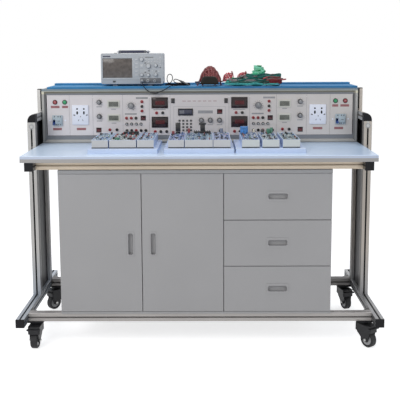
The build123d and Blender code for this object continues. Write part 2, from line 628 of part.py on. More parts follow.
# ------------------------------------------------------------------ console
def make_console_shell():
    y0, y1 = CONSOLE_FRONT + FRAME_DEPTH, CONSOLE_BACK
    s = SHEET
    shell = block(-CONSOLE_HALF, CONSOLE_HALF, y0, y1, WORKTOP_TOP, CONSOLE_TOP)
    shell -= block(-CONSOLE_HALF + s, CONSOLE_HALF - s, y0 - 1, y1 - s, WORKTOP_TOP + s, CONSOLE_TOP - s)
    for i in range(-5, 6):
        vent = Pos(i * 120, y1, CONSOLE_TOP - 60) * Rot(90, 0, 0) * extrude(SlotOverall(80, 6), 5, both=True)
        shell -= vent
    half = CONSOLE_HALF - FRAME_BAR
    low = [(PANEL_FACE - 2, WORKTOP_TOP + FRAME_BAR_LOW), (y0, WORKTOP_TOP + FRAME_BAR_LOW),
           (y0, PANEL_BOTTOM + PANEL_LAP), (PANEL_REAR, PANEL_BOTTOM + PANEL_LAP),
           (PANEL_REAR, PANEL_BOTTOM - 1), (PANEL_FACE - 2, PANEL_BOTTOM - 1)]
    high = [(PANEL_FACE - 2, CONSOLE_TOP - FRAME_BAR), (y0, CONSOLE_TOP - FRAME_BAR),
            (y0, PANEL_TOP - PANEL_LAP), (PANEL_REAR, PANEL_TOP - PANEL_LAP),
            (PANEL_REAR, PANEL_TOP + 1), (PANEL_FACE - 2, PANEL_TOP + 1)]
    plane = Plane(origin=(-half, 0, 0), x_dir=(0, 1, 0), z_dir=(1, 0, 0))
    rails = [extrude(plane * make_face(Polyline(*pts, close=True)), 2 * half) for pts in (low, high)]
    return [shell] + rails


def make_console_frame():
    y0, y1 = CONSOLE_FRONT, CONSOLE_FRONT + FRAME_DEPTH
    ring = block(-CONSOLE_HALF, CONSOLE_HALF, y0, y1, WORKTOP_TOP, CONSOLE_TOP)
    ring = fillet(ring.faces().sort_by(Axis.Y)[0].edges(), FRAME_CORNER)
    half = CONSOLE_HALF - FRAME_BAR
    low, high = WORKTOP_TOP + FRAME_BAR_LOW, CONSOLE_TOP - FRAME_BAR
    ring -= block(-half, half, y0 - 1, y1 + 1, low, high)
    mouth = Rectangle(2 * (half + FRAME_BEVEL), high - low + 2 * FRAME_BEVEL)
    front = Plane(origin=(0, y0, (low + high) / 2), x_dir=(-1, 0, 0), z_dir=(0, 1, 0))
    slope = math.degrees(math.atan2(FRAME_BEVEL, FRAME_BEVEL_DEPTH))
    ring -= extrude(front * mouth, FRAME_BEVEL_DEPTH, taper=slope)
    far = CONSOLE_HALF + 1
    top_bar = make_face(Polyline((-far, CONSOLE_TOP + far - CONSOLE_HALF), (-half, high), (half, high),
                                 (far, CONSOLE_TOP + far - CONSOLE_HALF), close=True))
    low_bar = make_face(Polyline((-far, WORKTOP_TOP - 1), (-half, low), (half, low),
                                 (far, WORKTOP_TOP - 1), close=True))
    plane = Plane(origin=(0, y1 + 1, 0), x_dir=(1, 0, 0), z_dir=(0, -1, 0))
    bars = [ring & extrude(plane * outline, FRAME_DEPTH + 2) for outline in (top_bar, low_bar)]
    for outline in (top_bar, low_bar):
        ring -= extrude(plane * outline, FRAME_DEPTH + 2)
    return bars + [ring]


def panel_centres():
    """X of each panel's middle, left to right, with its width."""
    spans = []
    x = -PANEL_SPAN / 2
    for width in PANEL_WIDTHS:
        spans.append((x + width / 2, width))
        x += width
    return spans


CENTRES = [centre for centre, width in panel_centres()]
POWER_L, OUTLET_L, LCD_L, SELECT_L, LED_L, GENERATOR, LED_R, SELECT_R, LCD_R, OUTLET_R, POWER_R = CENTRES


def at(x, height):
    """Place on the panels, by its height above their lower edge."""
    return x, PANEL_BOTTOM + height


BUTTONS = {"button_red_left": at(POWER_L - 15, 169), "button_green_left": at(POWER_L + 34, 169),
           "button_green_right": at(POWER_R - 30, 171), "button_red_right": at(POWER_R + 19, 171)}
POT_KNOBS = {"knob_left_upper": at(LCD_L - 43, 168), "knob_left_lower": at(LCD_L - 43, 96),
             "knob_right_upper": at(LCD_R + 43, 168), "knob_right_lower": at(LCD_R + 43, 98),
             "knob_coarse": at(GENERATOR + 9, 75), "knob_fine": at(GENERATOR + 54, 75),
             "knob_level": at(GENERATOR + 101, 75)}
SELECTOR_KNOBS = {"knob_selector_left": at(SELECT_L - 25, 150),
                  "knob_selector_right": at(SELECT_R - 24, 150)}
ROCKERS = {"rocker_lcd_left": at(LCD_L - 47, 27), "rocker_lcd_right": at(LCD_R + 45, 27),
           "rocker_select_left": at(SELECT_L + 36, 87), "rocker_select_right": at(SELECT_R + 36, 87),
           "rocker_generator": at(GENERATOR + 102, 119)}
BREAKERS = {"left": at(POWER_L - 4, 77), "right": at(POWER_R - 4, 79)}
LEVER_OFFSET = (-17.0, -9.0)
OUTLETS = {"left": at(OUTLET_L - 4, 105), "right": at(OUTLET_R - 3, 104)}
LCD_SPOTS = [at(LCD_L + 30, 158), at(LCD_L + 30, 88), at(LCD_R - 35, 158), at(LCD_R - 35, 88)]
DISPLAY_SPOT = at(GENERATOR - 71, 117)
KEYPAD_SPOT = at(GENERATOR - 102, 73)
INDICATORS = [at(GENERATOR - 134, 174), at(GENERATOR + 134, 174)]
TRIM_KNOB = at(GENERATOR + 108, 21)
LED_SPOTS = [at(LED_L, 164), at(LED_L, 66), at(LED_R, 164), at(LED_R, 68)]
SOCKETS_RED = [at(LCD_L + 9, 28), at(LCD_R - 45, 28)]
SOCKETS_BLACK = [at(LCD_L + 45, 28), at(LCD_R - 11, 28)]
LOW_ROW, MIDDLE_ROW, HIGH_ROW = SOCKET_ROWS
for middle in (SELECT_L, SELECT_R):
    first = middle - 2 * SOCKET_PITCH
    column = [at(middle + 30, height) for height in SOCKET_COLUMN]
    SOCKETS_RED += [column[0], column[2], at(first - 1, HIGH_ROW), at(first - 1 + SOCKET_PITCH, HIGH_ROW),
                    at(first - 1 + 2 * SOCKET_PITCH, LOW_ROW)]
    SOCKETS_BLACK += [column[1], at(first - 1 + 2 * SOCKET_PITCH, HIGH_ROW)]
    SOCKETS_BLACK += [at(first + SOCKET_PITCH * i, MIDDLE_ROW) for i in range(4)]
    SOCKETS_BLACK += [at(first + SOCKET_PITCH * i, LOW_ROW) for i in (0, 1, 3, 4)]
for middle in (LED_L, LED_R):
    SOCKETS_RED += [at(middle - 16, 113), at(middle - 24, 18)]
    SOCKETS_BLACK += [at(middle + 15, 113), at(middle + 4, 18), at(middle + 34, 18)]


def make_front_panels():
    pieces = []
    for centre, width in panel_centres():
        half = (width - PANEL_GAP) / 2
        panel = block(centre - half, centre + half, PANEL_FACE, PANEL_REAR, PANEL_BOTTOM, PANEL_TOP)
        holes = []
        for x, z in BUTTONS.values():
            holes.append((x, z, Circle(BUTTON_RADIUS + SLIP)))
        for x, z in list(POT_KNOBS.values()) + list(SELECTOR_KNOBS.values()):
            holes.append((x, z, Circle(SHAFT + SLIP)))
        for x, z in ROCKERS.values():
            holes.append((x, z, Rectangle(ROCKER[0] + 2 * SLIP, ROCKER[1] + 4)))
        for x, z in BREAKERS.values():
            holes.append((x + LEVER_OFFSET[0], z + LEVER_OFFSET[1], Rectangle(LEVER_WIDTH + 2, 26)))
        for x, z, outline in holes:
            if abs(x - centre) < half:
                panel -= extrude(facing(x, PANEL_FACE - 1, z) * outline, -PANEL_THICK - 2)
        pieces.append(panel)
    return pieces


def make_breakers():
    """Two-pole breaker noses: body with a slot for the toggle."""
    pieces = []
    for x, z in BREAKERS.values():
        w, h = BREAKER
        y = PANEL_FACE
        body = block(x - w / 2, x + w / 2, y - BREAKER_STAND, y, z - h / 2, z + h / 2)
        nose = block(x - w / 2 + 3, x + w / 2 - 3, y - BREAKER_STAND - 4, y - BREAKER_STAND,
                     z - 15, z + 13)
        body = chamfer(body.faces().sort_by(Axis.Y)[0].edges(), 1.5) + nose
        lx, lz = x + LEVER_OFFSET[0], z + LEVER_OFFSET[1]
        body -= block(lx - LEVER_WIDTH / 2 - 1, lx + LEVER_WIDTH / 2 + 1, y - 30, y + 1, lz - 13, lz + 13)
        pieces.append(body)
        for side in (-1, 1):
            pieces.append(disc(x + side * (w / 2 + 14), PANEL_FACE, z, 4, 2))
    return pieces


def make_lever(x, z):
    """Toggle of a breaker, pivoted behind the panel, thrown downwards."""
    pivot = (PANEL_FACE + 6, z + LEVER_OFFSET[1])
    half = LEVER_WIDTH / 2
    outline = make_face(Polyline((6, -5), (6, 5), (-18, 4), (-29, 3), (-29, -3), (-18, -4), close=True))
    plane = Plane(origin=(x + LEVER_OFFSET[0] - half, pivot[0], pivot[1]), x_dir=(0, 1, 0), z_dir=(1, 0, 0))
    tilted = plane * (Rot(0, 0, LEVER_TILT) * outline)
    pin = Pos(x + LEVER_OFFSET[0], *pivot) * Rot(0, 90, 0) * Cylinder(LEVER_PIN, LEVER_WIDTH + 2 * PIN_PROUD)
    return [extrude(tilted, LEVER_WIDTH) + pin]


def make_outlets():
    pieces = []
    for x, z in OUTLETS.values():
        w, h = OUTLET
        y = PANEL_FACE
        plate = block(x - w / 2, x + w / 2, y - OUTLET_STAND, y, z - h / 2, z + h / 2)
        plate = fillet(plate.edges().filter_by(Axis.Y), 5)
        plate = chamfer(plate.faces().sort_by(Axis.Y)[0].edges(), 1.5)
        cuts = [(x - 17, z + 21, 0), (x + 17, z + 21, 0), (x, z - 6, 0),
                (x - 12, z - 25, 30), (x + 12, z - 25, -30)]
        for cx, cz, turn in cuts:
            slot = Rot(0, 0, 90 + turn) * SlotOverall(*OUTLET_SLOT)
            plate -= extrude(facing(cx, y - OUTLET_STAND - 1, cz) * slot, -OUTLET_STAND)
        for side in (-1, 1):
            plate -= disc(x + side * 17, y - 1, z + 36, OUTLET_HOLE, OUTLET_STAND)
        pieces.append(plate)
        for side in (-1, 1):
            pieces.append(disc(x + side * 32, y - OUTLET_STAND, z - 1, 3.2, 0.8))
    return pieces


def make_button_bezels():
    """Rings round the push-buttons and frames round the rockers."""
    pieces = []
    for x, z in BUTTONS.values():
        ring = disc(x, PANEL_FACE, z, BEZEL_RADIUS, BEZEL_STAND)
        pieces.append(ring - disc(x, PANEL_FACE, z, BUTTON_RADIUS + SLIP, BEZEL_STAND))
    for x, z in ROCKERS.values():
        w, h = ROCKER
        frame = block(x - w / 2 - 3, x + w / 2 + 3, PANEL_FACE - 1.6, PANEL_FACE,
                      z - h / 2 - 5, z + h / 2 + 5)
        hole = block(x - w / 2 - SLIP, x + w / 2 + SLIP, PANEL_FACE - 3, PANEL_FACE + 1,
                     z - h / 2 - 2, z + h / 2 + 2)
        pieces.append(frame - hole)
    for x, z in INDICATORS:
        lamp = block(x - 8.5, x + 8.5, PANEL_FACE - 3.5, PANEL_FACE, z - 12, z + 12)
        pieces.append(chamfer(lamp.faces().sort_by(Axis.Y)[0].edges(), 0.8))
    x, z = TRIM_KNOB
    dial = disc(x, PANEL_FACE, z, 10.5, 3) + disc(x, PANEL_FACE, z, 8, 13)
    pieces.append(chamfer(dial.faces().sort_by(Axis.Y)[0].edges(), 1))
    return pieces


def make_button(x, z):
    depth = BUTTON_STAND + PANEL_THICK + BUTTON_TAIL
    stem = disc(x, PANEL_REAR + BUTTON_TAIL, z, BUTTON_RADIUS, depth)
    return [fillet(stem.faces().sort_by(Axis.Y)[0].edges(), 1.5)]


def make_knob(x, z, radius):
    """Fluted knob with a skirt, a pointer rib and its shaft."""
    y = PANEL_FACE - KNOB_GAP
    height = radius * 0.9 + 3
    skirt = disc(x, y, z, radius, 3)
    grip = disc(x, y - 3, z, radius * 0.74, height)
    grip = chamfer(grip.faces().sort_by(Axis.Y)[0].edges(), 1.2)
    body = skirt + grip
    for i in range(10):
        a = math.radians(36 * i)
        reach = radius * 0.8
        body -= disc(x + reach * math.cos(a), y - 3, z + reach * math.sin(a), radius * 0.13, height + 1)
    pointer = block(x - 0.8, x + 0.8, y - 4 - height, y - height, z, z + radius * 0.7)
    return [body + pointer + disc(x, y + KNOB_GAP + PANEL_THICK + 8, z, SHAFT, KNOB_GAP + PANEL_THICK + 8)]


def make_rocker(x, z):
    """Rocker paddle tilted to its off side about a pin behind the face."""
    h = ROCKER[1] / 2
    outline = make_face(Polyline((5, -h + 3), (5, h - 3), (0, h), (-4, h), (-2.6, 0), (-4, -h), (0, -h),
                                 close=True))
    w = ROCKER[0]
    plane = Plane(origin=(x - w / 2, PANEL_FACE, z), x_dir=(0, 1, 0), z_dir=(1, 0, 0))
    pin = Pos(x, PANEL_FACE, z) * Rot(0, 90, 0) * Cylinder(ROCKER_PIN, w + 2 * PIN_PROUD)
    return [extrude(plane * (Rot(0, 0, ROCKER_TILT) * outline), w) + pin]


def make_sockets(spots):
    """Binding posts with a 4 mm plug bore in the middle."""
    pieces = []
    for x, z in spots:
        body = disc(x, PANEL_FACE, z, SOCKET_BASE, 2.5) + disc(x, PANEL_FACE, z, SOCKET_BODY, SOCKET_STAND)
        body -= disc(x, PANEL_FACE - SOCKET_STAND + SOCKET_DEPTH, z, SOCKET_BORE, SOCKET_DEPTH + 1)
        pieces.append(body)
    return pieces


def meter(x, z, size, stand, rim):
    """Bezel and the window pane set into it."""
    w, h = size
    y = PANEL_FACE
    bezel = block(x - w / 2, x + w / 2, y - stand, y, z - h / 2, z + h / 2)
    bezel = chamfer(bezel.faces().sort_by(Axis.Y)[0].edges(), 1)
    x0, x1, z0, z1 = x - w / 2 + rim, x + w / 2 - rim, z - h / 2 + rim, z + h / 2 - rim
    sink = block(x0, x1, y - stand - 1, y - stand + 2, z0, z1)
    pane = block(x0, x1, y - stand + 1, y - stand + 2, z0, z1)
    return [bezel - sink, pane]


def make_lcd_meters():
    pieces = [p for x, z in LCD_SPOTS for p in meter(x, z, LCD, LCD_STAND, 6)]
    return pieces + meter(*DISPLAY_SPOT, DISPLAY, LCD_STAND, 5)


def make_led_meters():
    return [p for x, z in LED_SPOTS for p in meter(x, z, LED, LED_STAND, 4)]


def make_keypad():
    """Membrane keys of the generator panel, four by four."""
    pieces = []
    w, h, stand = KEY_SIZE
    for row in range(4):
        for col in range(4):
            x, z = KEYPAD_SPOT[0] + KEY_PITCH[0] * col, KEYPAD_SPOT[1] - KEY_PITCH[1] * row
            key = block(x - w / 2, x + w / 2, PANEL_FACE - stand, PANEL_FACE, z - h / 2, z + h / 2)
            pieces.append(key)
    return pieces


def make_internals():
    """Transformers and circuit boards standing on the console's floor."""
    floor = WORKTOP_TOP + SHEET
    back = CONSOLE_BACK - SHEET
    pieces = []
    for x in (POWER_L, POWER_R):
        half = CORE[0] / 2
        core = block(x - half, x + half, back - CORE_GAP - CORE[1], back - CORE_GAP,
                     floor + 4, floor + CORE[2])
        foot = block(x - half - 10, x + half + 10, back - CORE_GAP - CORE[1] - 5, back - CORE_GAP + 5,
                     floor, floor + 4)
        pieces += [core, foot]
    for x in (LCD_L, SELECT_L, GENERATOR, SELECT_R, LCD_R):
        y = PANEL_REAR + BOARD_GAP
        pieces.append(block(x - BOARD / 2, x + BOARD / 2, y, y + 2, floor, PANEL_TOP - BOARD_HEAD))
    return pieces


def make_top_mat():
    """Rubber mat, with its back strip turned over on itself."""
    x0, x1 = -CONSOLE_HALF + MAT_GAP_LEFT, CONSOLE_HALF - MAT_GAP_RIGHT
    y1 = CONSOLE_BACK - 2
    mat = block(x0, x1, CONSOLE_FRONT + MAT_MARGIN, y1, CONSOLE_TOP, MAT_TOP)
    mat = fillet(mat.edges().filter_by(Axis.Z), MAT_CORNER)
    fold = block(x0 - 2, x1, y1 - MAT_FOLD, y1, MAT_TOP, MAT_TOP + MAT_THICK)
    return [mat, fillet(fold.edges().filter_by(Axis.X).group_by(Axis.Z)[-1], MAT_THICK * 0.45)]


# ------------------------------------------------------------- loose pieces
def make_tray(index):
    """White carrier with three circuit modules standing on it."""
    cx = TRAY_CENTRES[index]
    w, d, h = TRAY
    y0 = WORKTOP_EDGE + TRAY_SETBACK
    z0 = WORKTOP_TOP
    body = block(cx - w / 2, cx + w / 2, y0, y0 + d, z0, z0 + h)
    body = fillet(body.edges().filter_by(Axis.Z), 5)
    body = fillet(body.faces().sort_by(Axis.Z)[-1].edges(), TRAY_LIP)
    body -= block(cx - w / 2 + TRAY_WALL, cx + w / 2 - TRAY_WALL, y0 + TRAY_WALL, y0 + d - TRAY_WALL,
                  z0 - 1, z0 + h - TRAY_WALL)
    pieces = [body]
    m0, m1 = y0 + MODULE_FRONT, y0 + MODULE_FRONT + MODULE_DEPTH
    base = z0 + h
    for x0, x1 in MODULE_SPANS[index]:
        box = block(x0, x1, m0, m1, base, base + MODULE_H)
        box = fillet(box.edges().filter_by(Axis.Z), 2)
        box -= block(x0 + MODULE_WALL, x1 - MODULE_WALL, m0 + MODULE_WALL, m1 - MODULE_WALL,
                     base + MODULE_WALL, base + MODULE_H + 1)
        board = block(x0 + MODULE_WALL, x1 - MODULE_WALL, m0 + MODULE_WALL, m1 - MODULE_WALL,
                      base + MODULE_H - BOARD_SINK - 3, base + MODULE_H - BOARD_SINK)
        pieces += [box, board]
    return pieces


def scope_frame():
    x0 = SCOPE_LEFT
    y0 = WORKTOP_EDGE + SCOPE_SETBACK
    z0 = MAT_TOP + SCOPE_FOOT
    return x0, x0 + SCOPE[0], y0, y0 + SCOPE[1], z0, z0 + SCOPE[2]


def make_scope_case():
    x0, x1, y0, y1, z0, z1 = scope_frame()
    body = block(x0, x1, y0 + 10, y1, z0, z1)
    body = fillet(body.edges().filter_by(Axis.Y), SCOPE_CORNER)
    body = chamfer(body.faces().sort_by(Axis.Y)[-1].edges(), 6)
    body -= block(x0 + 4, x1 - 4, y0 + 9, y1 - 4, z0 + 4, z1 - 4)
    for x in [x0 + offset for offset in SCOPE_FEET]:
        for y in (y0 + SCOPE_FOOT_INSET, y1 - SCOPE_FOOT_INSET):
            body += block(x - 12, x + 12, y - 6, y + 6, MAT_TOP, z0 + 4)
    for x in (x0 + SCOPE[0] / 2 - HANDLE_SPAN / 2, x0 + SCOPE[0] / 2 + HANDLE_SPAN / 2):
        back = y1 - HANDLE_INSET
        ear = block(x - EAR / 2, x + EAR / 2, back - EAR + 1, back + EAR - 1, z1 - 2, z1 + 2 * HANDLE_LIFT)
        body += fillet(ear.edges().filter_by(Axis.X).sort_by(Axis.Z)[-2:], 6)
        pivot = Pos(x, y1 - HANDLE_INSET, z1 + HANDLE_LIFT) * Rot(0, 90, 0)
        body += pivot * Cylinder(HANDLE_PIN, EAR + 12)
    return [body]


def make_scope_front():
    """Front moulding, screen, keys, knobs and the input connectors."""
    x0, x1, y0, y1, z0, z1 = scope_frame()
    plate = block(x0, x1, y0, y0 + 10, z0, z1)
    plate = fillet(plate.edges().filter_by(Axis.Y), SCOPE_CORNER)
    plate = fillet(plate.faces().sort_by(Axis.Y)[0].edges(), 2.5)
    left, low, width, height = SCREEN
    sx, sz = x0 + left, z0 + low
    plate -= block(sx, sx + width, y0 - 1, y0 + 3, sz, sz + height)
    pane = block(sx + 2, sx + width - 2, y0 + 1, y0 + 3, sz + 2, sz + height - 2)
    pieces = [plate, pane]
    for i in range(5):
        across, lowest, pitch = SOFT_KEYS
        z = z0 + lowest + pitch * i
        pieces.append(block(x0 + across, x0 + across + 14, y0 - 2, y0, z, z + 7))
    for x, z, r in SCOPE_KNOBS:
        knob = disc(x0 + x, y0, z0 + z, r, 12)
        pieces.append(chamfer(knob.faces().sort_by(Axis.Y)[0].edges(), 1.2))
    z = z0 + INPUT_RISE
    for x in SCOPE_INPUTS:
        barrel = disc(x0 + x, y0, z, INPUT_RADIUS, INPUT_STAND)
        pieces.append(barrel - disc(x0 + x, y0 - 3, z, INPUT_RADIUS * 0.7, INPUT_STAND))
    pieces.append(disc(x0 + PROBE_INPUT, y0, z, INPUT_RADIUS, INPUT_STAND))
    plug = disc(x0 + PROBE_INPUT, y0 - INPUT_STAND, z, PLUG_RADIUS, PLUG_LENGTH)
    pieces.append(chamfer(plug.faces().sort_by(Axis.Y)[0].edges(), 2))
    return pieces


def make_scope_handle():
    """Carrying handle lying on the case, hinged on two ears."""
    x0, x1, y0, y1, z0, z1 = scope_frame()
    cx = (x0 + x1) / 2
    half = HANDLE_SPAN / 2 - EAR / 2 - 1
    axis_y, axis_z = y1 - HANDLE_INSET, z1 + HANDLE_LIFT
    t = HANDLE_THICK
    low = z1 + HANDLE_REST
    bar = block(cx - half, cx + half, axis_y - HANDLE_REACH, axis_y - HANDLE_REACH + t + 4,
                low, low + HANDLE_BAR)
    bar = fillet(bar.edges().filter_by(Axis.X), 3)
    arms = [block(cx + s * half - (t if s > 0 else 0), cx + s * half + (0 if s > 0 else t),
                  axis_y - HANDLE_REACH + 4, axis_y + t / 2, axis_z - t / 2, axis_z + t / 2) for s in (-1, 1)]
    hole = Pos(cx, axis_y, axis_z) * Rot(0, 90, 0) * Cylinder(HANDLE_PIN + SLIP, 2 * half + 2)
    inner = Pos(cx, axis_y, axis_z) * Rot(0, 90, 0) * Cylinder(HANDLE_PIN + SLIP, 2 * half - 2 * t - 2)
    return [bar + arms[0] + arms[1] - (hole - inner)]


# -------------------------------------------------------------------- leads
def rounded_path(points):
    """Straight runs joined by the largest arcs that the runs allow."""
    points = [Vector(*p) for p in points]
    radii = []
    for a, b, c in zip(points, points[1:], points[2:]):
        run, nxt = b - a, c - b
        half_turn = math.radians(run.get_angle(nxt) / 2)
        radii.append(0.45 * min(run.length, nxt.length) / math.tan(half_turn))
    print("lead radii", [round(r, 1) for r in radii])
    return FilletPolyline(*points, radius=radii)


def probe_route():
    """From the plug on the scope, over the console's edge and back to the coil."""
    x0, x1, y0, y1, z0, z1 = scope_frame()
    px, pz = x0 + PROBE_INPUT, z0 + INPUT_RISE
    start = y0 - INPUT_STAND - PLUG_LENGTH
    rest = MAT_TOP + LEAD_RADIUS + 0.4
    edge = CONSOLE_FRONT
    return [(px, start, pz), (px, start - 20, pz), (px + 5, start - 39, pz - 11),
            (px + 12, edge - 4, rest + 3), (px + 20, edge - 11, rest - 9),
            (px + 31, edge - 13, rest - 20), (px + 46, edge - 14, rest - 28),
            (px + 64, edge - 14, rest - 31), (px + 82, edge - 13.5, rest - 30),
            (px + 99, edge - 13.5, rest - 25), (px + 115, edge - 13, rest - 19),
            (px + 130, edge - 11, rest - 10), (px + 142, edge - 5, rest - 1),
            (px + 151, edge + 7, rest + 3), (px + 159, edge + 22, rest + 1.5),
            (px + 167, edge + 38, rest + 1), (px + 176, edge + 52.5, rest + 1.5)]


def make_probe_lead():
    path = rounded_path(probe_route())
    section = Plane(origin=path @ 0, z_dir=path % 0) * Circle(LEAD_RADIUS)
    return [sweep(section, path=path)]


def make_probe_coil():
    """Wound spare length as one long ring with two loops standing up, and the probe lying on it."""
    cx, cy = COIL_CENTRE
    ring = extrude(SlotOverall(*COIL_OUTER) - SlotOverall(*COIL_INNER), COIL_HEIGHT)
    rims = ring.faces().sort_by(Axis.Z)
    ring = fillet(rims[0].edges() + rims[-1].edges(), 5)
    ring = Pos(cx, cy, MAT_TOP) * ring
    cord, foot = 2 * LEAD_RADIUS, COIL_HEIGHT - 3
    for x, width, top in LOOPS:
        tall = top - foot
        loop = (RectangleRounded(width, tall, min(width, tall) * 0.49)
                - RectangleRounded(width - 2 * cord, tall - 2 * cord, (min(width, tall) - 2 * cord) * 0.49))
        middle = (x, cy + LOOP_BEHIND, MAT_TOP + foot + tall / 2)
        plane = Plane(origin=middle, x_dir=(1, 0, 0), z_dir=(0, -1, 0))
        ring += extrude(plane * loop, cord / 2, both=True)
    grip = Cylinder(5, 62) + Pos(0, 0, 38) * Cone(5, 2.2, 16)
    across, along = GRIP_SPOT
    turn = Pos(cx + across, cy + along, MAT_TOP + COIL_HEIGHT + 5) * Rot(0, 90, 24)
    return [ring, turn * grip]


def dome(x, y, radius, height):
    """Heap with rounded shoulders, standing on the mat."""
    outline = make_face(Polyline((0, 0), (radius, 0), (radius * 0.97, height * 0.3),
                                 (radius * 0.7, height * 0.72), (radius * 0.3, height), (0, height),
                                 close=True))
    body = revolve(Plane.XZ * outline, Axis.Z)
    return Pos(x, y, MAT_TOP) * body


def ridge(x0, x1, y, depth, height):
    """Long low heap with sloping ends, lying along X on the mat."""
    arch = make_face(Polyline((-depth / 2, 0), (depth / 2, 0), (depth * 0.46, height * 0.45),
                              (depth * 0.25, height), (-depth * 0.25, height),
                              (-depth * 0.46, height * 0.45), close=True))
    plane = Plane(origin=(x0, y, MAT_TOP), x_dir=(0, 1, 0), z_dir=(1, 0, 0))
    body = extrude(plane * arch, x1 - x0)
    ends = body.faces().sort_by(Axis.X)
    tips = [e for f in (ends[0], ends[-1]) for e in f.edges() if e.center().Z > MAT_TOP + height - 1]
    return chamfer(tips, height * 0.45)


def make_lead_bundles():
    """Patch leads heaped on the console, and the pouch in front of them."""
    a, b, c, d, h = POUCH
    pouch = block(a, b, c, d, MAT_TOP, MAT_TOP + h)
    pouch = fillet(pouch.edges().filter_by(Axis.Z), 10)
    pouch = fillet(pouch.faces().sort_by(Axis.Z)[-1].edges(), 7)
    heap = dome(*RED_HEAP) - block(a - 1, b + 1, c, d + 1, MAT_TOP, MAT_TOP + h + 1)
    return [heap, ridge(*TEAL_BUNDLE) + dome(*TEAL_LUMP), pouch] + [dome(*hump) for hump in RED_HUMPS]


# ------------------------------------------------------------------- output
os.makedirs("parts", exist_ok=True)

save("side_frames", make_side_frames())
save("cross_rails", make_cross_rails())
save("black_fittings", make_black_fittings() + make_castor_plates())
save("steel_fittings", make_brackets())
save("infill_panels", make_infill_panels())
save("worktop", make_worktop())
for corner, (cx, cy) in castor_spots().items():
    save("castor_fork_" + corner, swung(corner, make_fork(cx, cy)))
    save("castor_wheel_" + corner, swung(corner, make_wheel(cx, cy)))

save("cabinet_carcass", make_cabinet_carcass() + make_drawer_runners())
PIVOT_L, PIVOT_R = hinge_axes()
save("door_left", make_door(CAB_LEFT, DOOR_SPLIT - REVEAL / 2, DOOR_SPLIT - DOOR_PULL_INSET, PIVOT_L))
save("door_right", make_door(DOOR_SPLIT + REVEAL / 2, CAB_SPLIT - REVEAL / 2,
                             DOOR_SPLIT + DOOR_PULL_INSET, PIVOT_R))
for number, (low_z, high_z) in enumerate(front_zones(), start=1):
    save("drawer_" + str(number), make_drawer(low_z, high_z))

save("console_shell", make_console_shell())
save("console_frame", make_console_frame())
save("console_internals", make_internals())
save("front_panels", make_front_panels())
save("top_mat", make_top_mat())
save("power_fittings", make_breakers() + make_outlets())
save("switch_bezels", make_button_bezels() + make_keypad())
save("sockets_red", make_sockets(SOCKETS_RED))
save("sockets_black", make_sockets(SOCKETS_BLACK))
save("lcd_meters", make_lcd_meters())
save("led_meters", make_led_meters())
for node, (px, pz) in BUTTONS.items():
    save(node, make_button(px, pz))
for node, (px, pz) in POT_KNOBS.items():
    save(node, make_knob(px, pz, POT_KNOB))
for node, (px, pz) in SELECTOR_KNOBS.items():
    save(node, make_knob(px, pz, SELECTOR_KNOB))
for node, (px, pz) in ROCKERS.items():
    save(node, make_rocker(px, pz))
for side, (px, pz) in BREAKERS.items():
    save("breaker_lever_" + side, make_lever(px, pz))

for number in range(len(TRAY_CENTRES)):
    save("module_tray_" + str(number + 1), make_tray(number))
save("scope_case", make_scope_case())
save("scope_front", make_scope_front())
save("scope_handle", make_scope_handle())
save("probe_lead", make_probe_lead())
save("probe_coil", make_probe_coil())
save("lead_bundles", make_lead_bundles())
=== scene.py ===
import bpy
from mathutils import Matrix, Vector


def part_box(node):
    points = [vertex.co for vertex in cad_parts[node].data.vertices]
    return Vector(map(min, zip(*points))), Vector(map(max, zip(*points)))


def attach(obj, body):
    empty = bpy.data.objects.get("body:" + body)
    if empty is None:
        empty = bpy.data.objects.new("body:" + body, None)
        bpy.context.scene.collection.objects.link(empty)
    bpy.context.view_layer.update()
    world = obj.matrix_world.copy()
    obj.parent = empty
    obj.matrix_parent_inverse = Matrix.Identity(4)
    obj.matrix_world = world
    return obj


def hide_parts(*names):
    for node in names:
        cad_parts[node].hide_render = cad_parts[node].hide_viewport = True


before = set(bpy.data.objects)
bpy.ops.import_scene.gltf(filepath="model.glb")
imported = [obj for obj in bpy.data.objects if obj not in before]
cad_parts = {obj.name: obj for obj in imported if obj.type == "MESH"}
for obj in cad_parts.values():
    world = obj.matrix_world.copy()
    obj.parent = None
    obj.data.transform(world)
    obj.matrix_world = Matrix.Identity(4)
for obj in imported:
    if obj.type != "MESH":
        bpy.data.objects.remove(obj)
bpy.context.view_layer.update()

import math
import random

import bmesh
import bpy
from mathutils import Matrix, Vector

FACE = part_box("front_panels")[0][1]            # front of the instrument panels
MAT_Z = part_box("top_mat")[1][2]                # top of the blue mat
WIDTHS = (0.114, 0.118, 0.152, 0.135, 0.105, 0.297, 0.105, 0.135, 0.152, 0.118, 0.114)
PANEL_X = [-sum(WIDTHS) / 2]
for width in WIDTHS:
    PANEL_X.append(PANEL_X[-1] + width)
CENTRE = [(a + b) / 2 for a, b in zip(PANEL_X, PANEL_X[1:])]
POWER_L, OUTLET_L, LCD_L, SELECT_L, LED_L, GENERATOR, LED_R, SELECT_R, LCD_R, OUTLET_R, POWER_R = CENTRE


# ---------------------------------------------------------------- materials
def shader(name):
    """An empty node material and the handles that every finish needs."""
    material = bpy.data.materials.new(name)
    material.use_nodes = True
    tree = material.node_tree
    return material, tree, tree.nodes["Principled BSDF"]


def feed(tree, node, inputs):
    """Links a node's inputs to the outputs of other nodes, or sets their values."""
    for key, source in inputs.items():
        if isinstance(source, bpy.types.NodeSocket):
            tree.links.new(source, node.inputs[key])
        else:
            node.inputs[key].default_value = source


def add(tree, kind, inputs):
    """Adds a shader node and feeds it."""
    node = tree.nodes.new("ShaderNode" + kind)
    feed(tree, node, inputs)
    return node


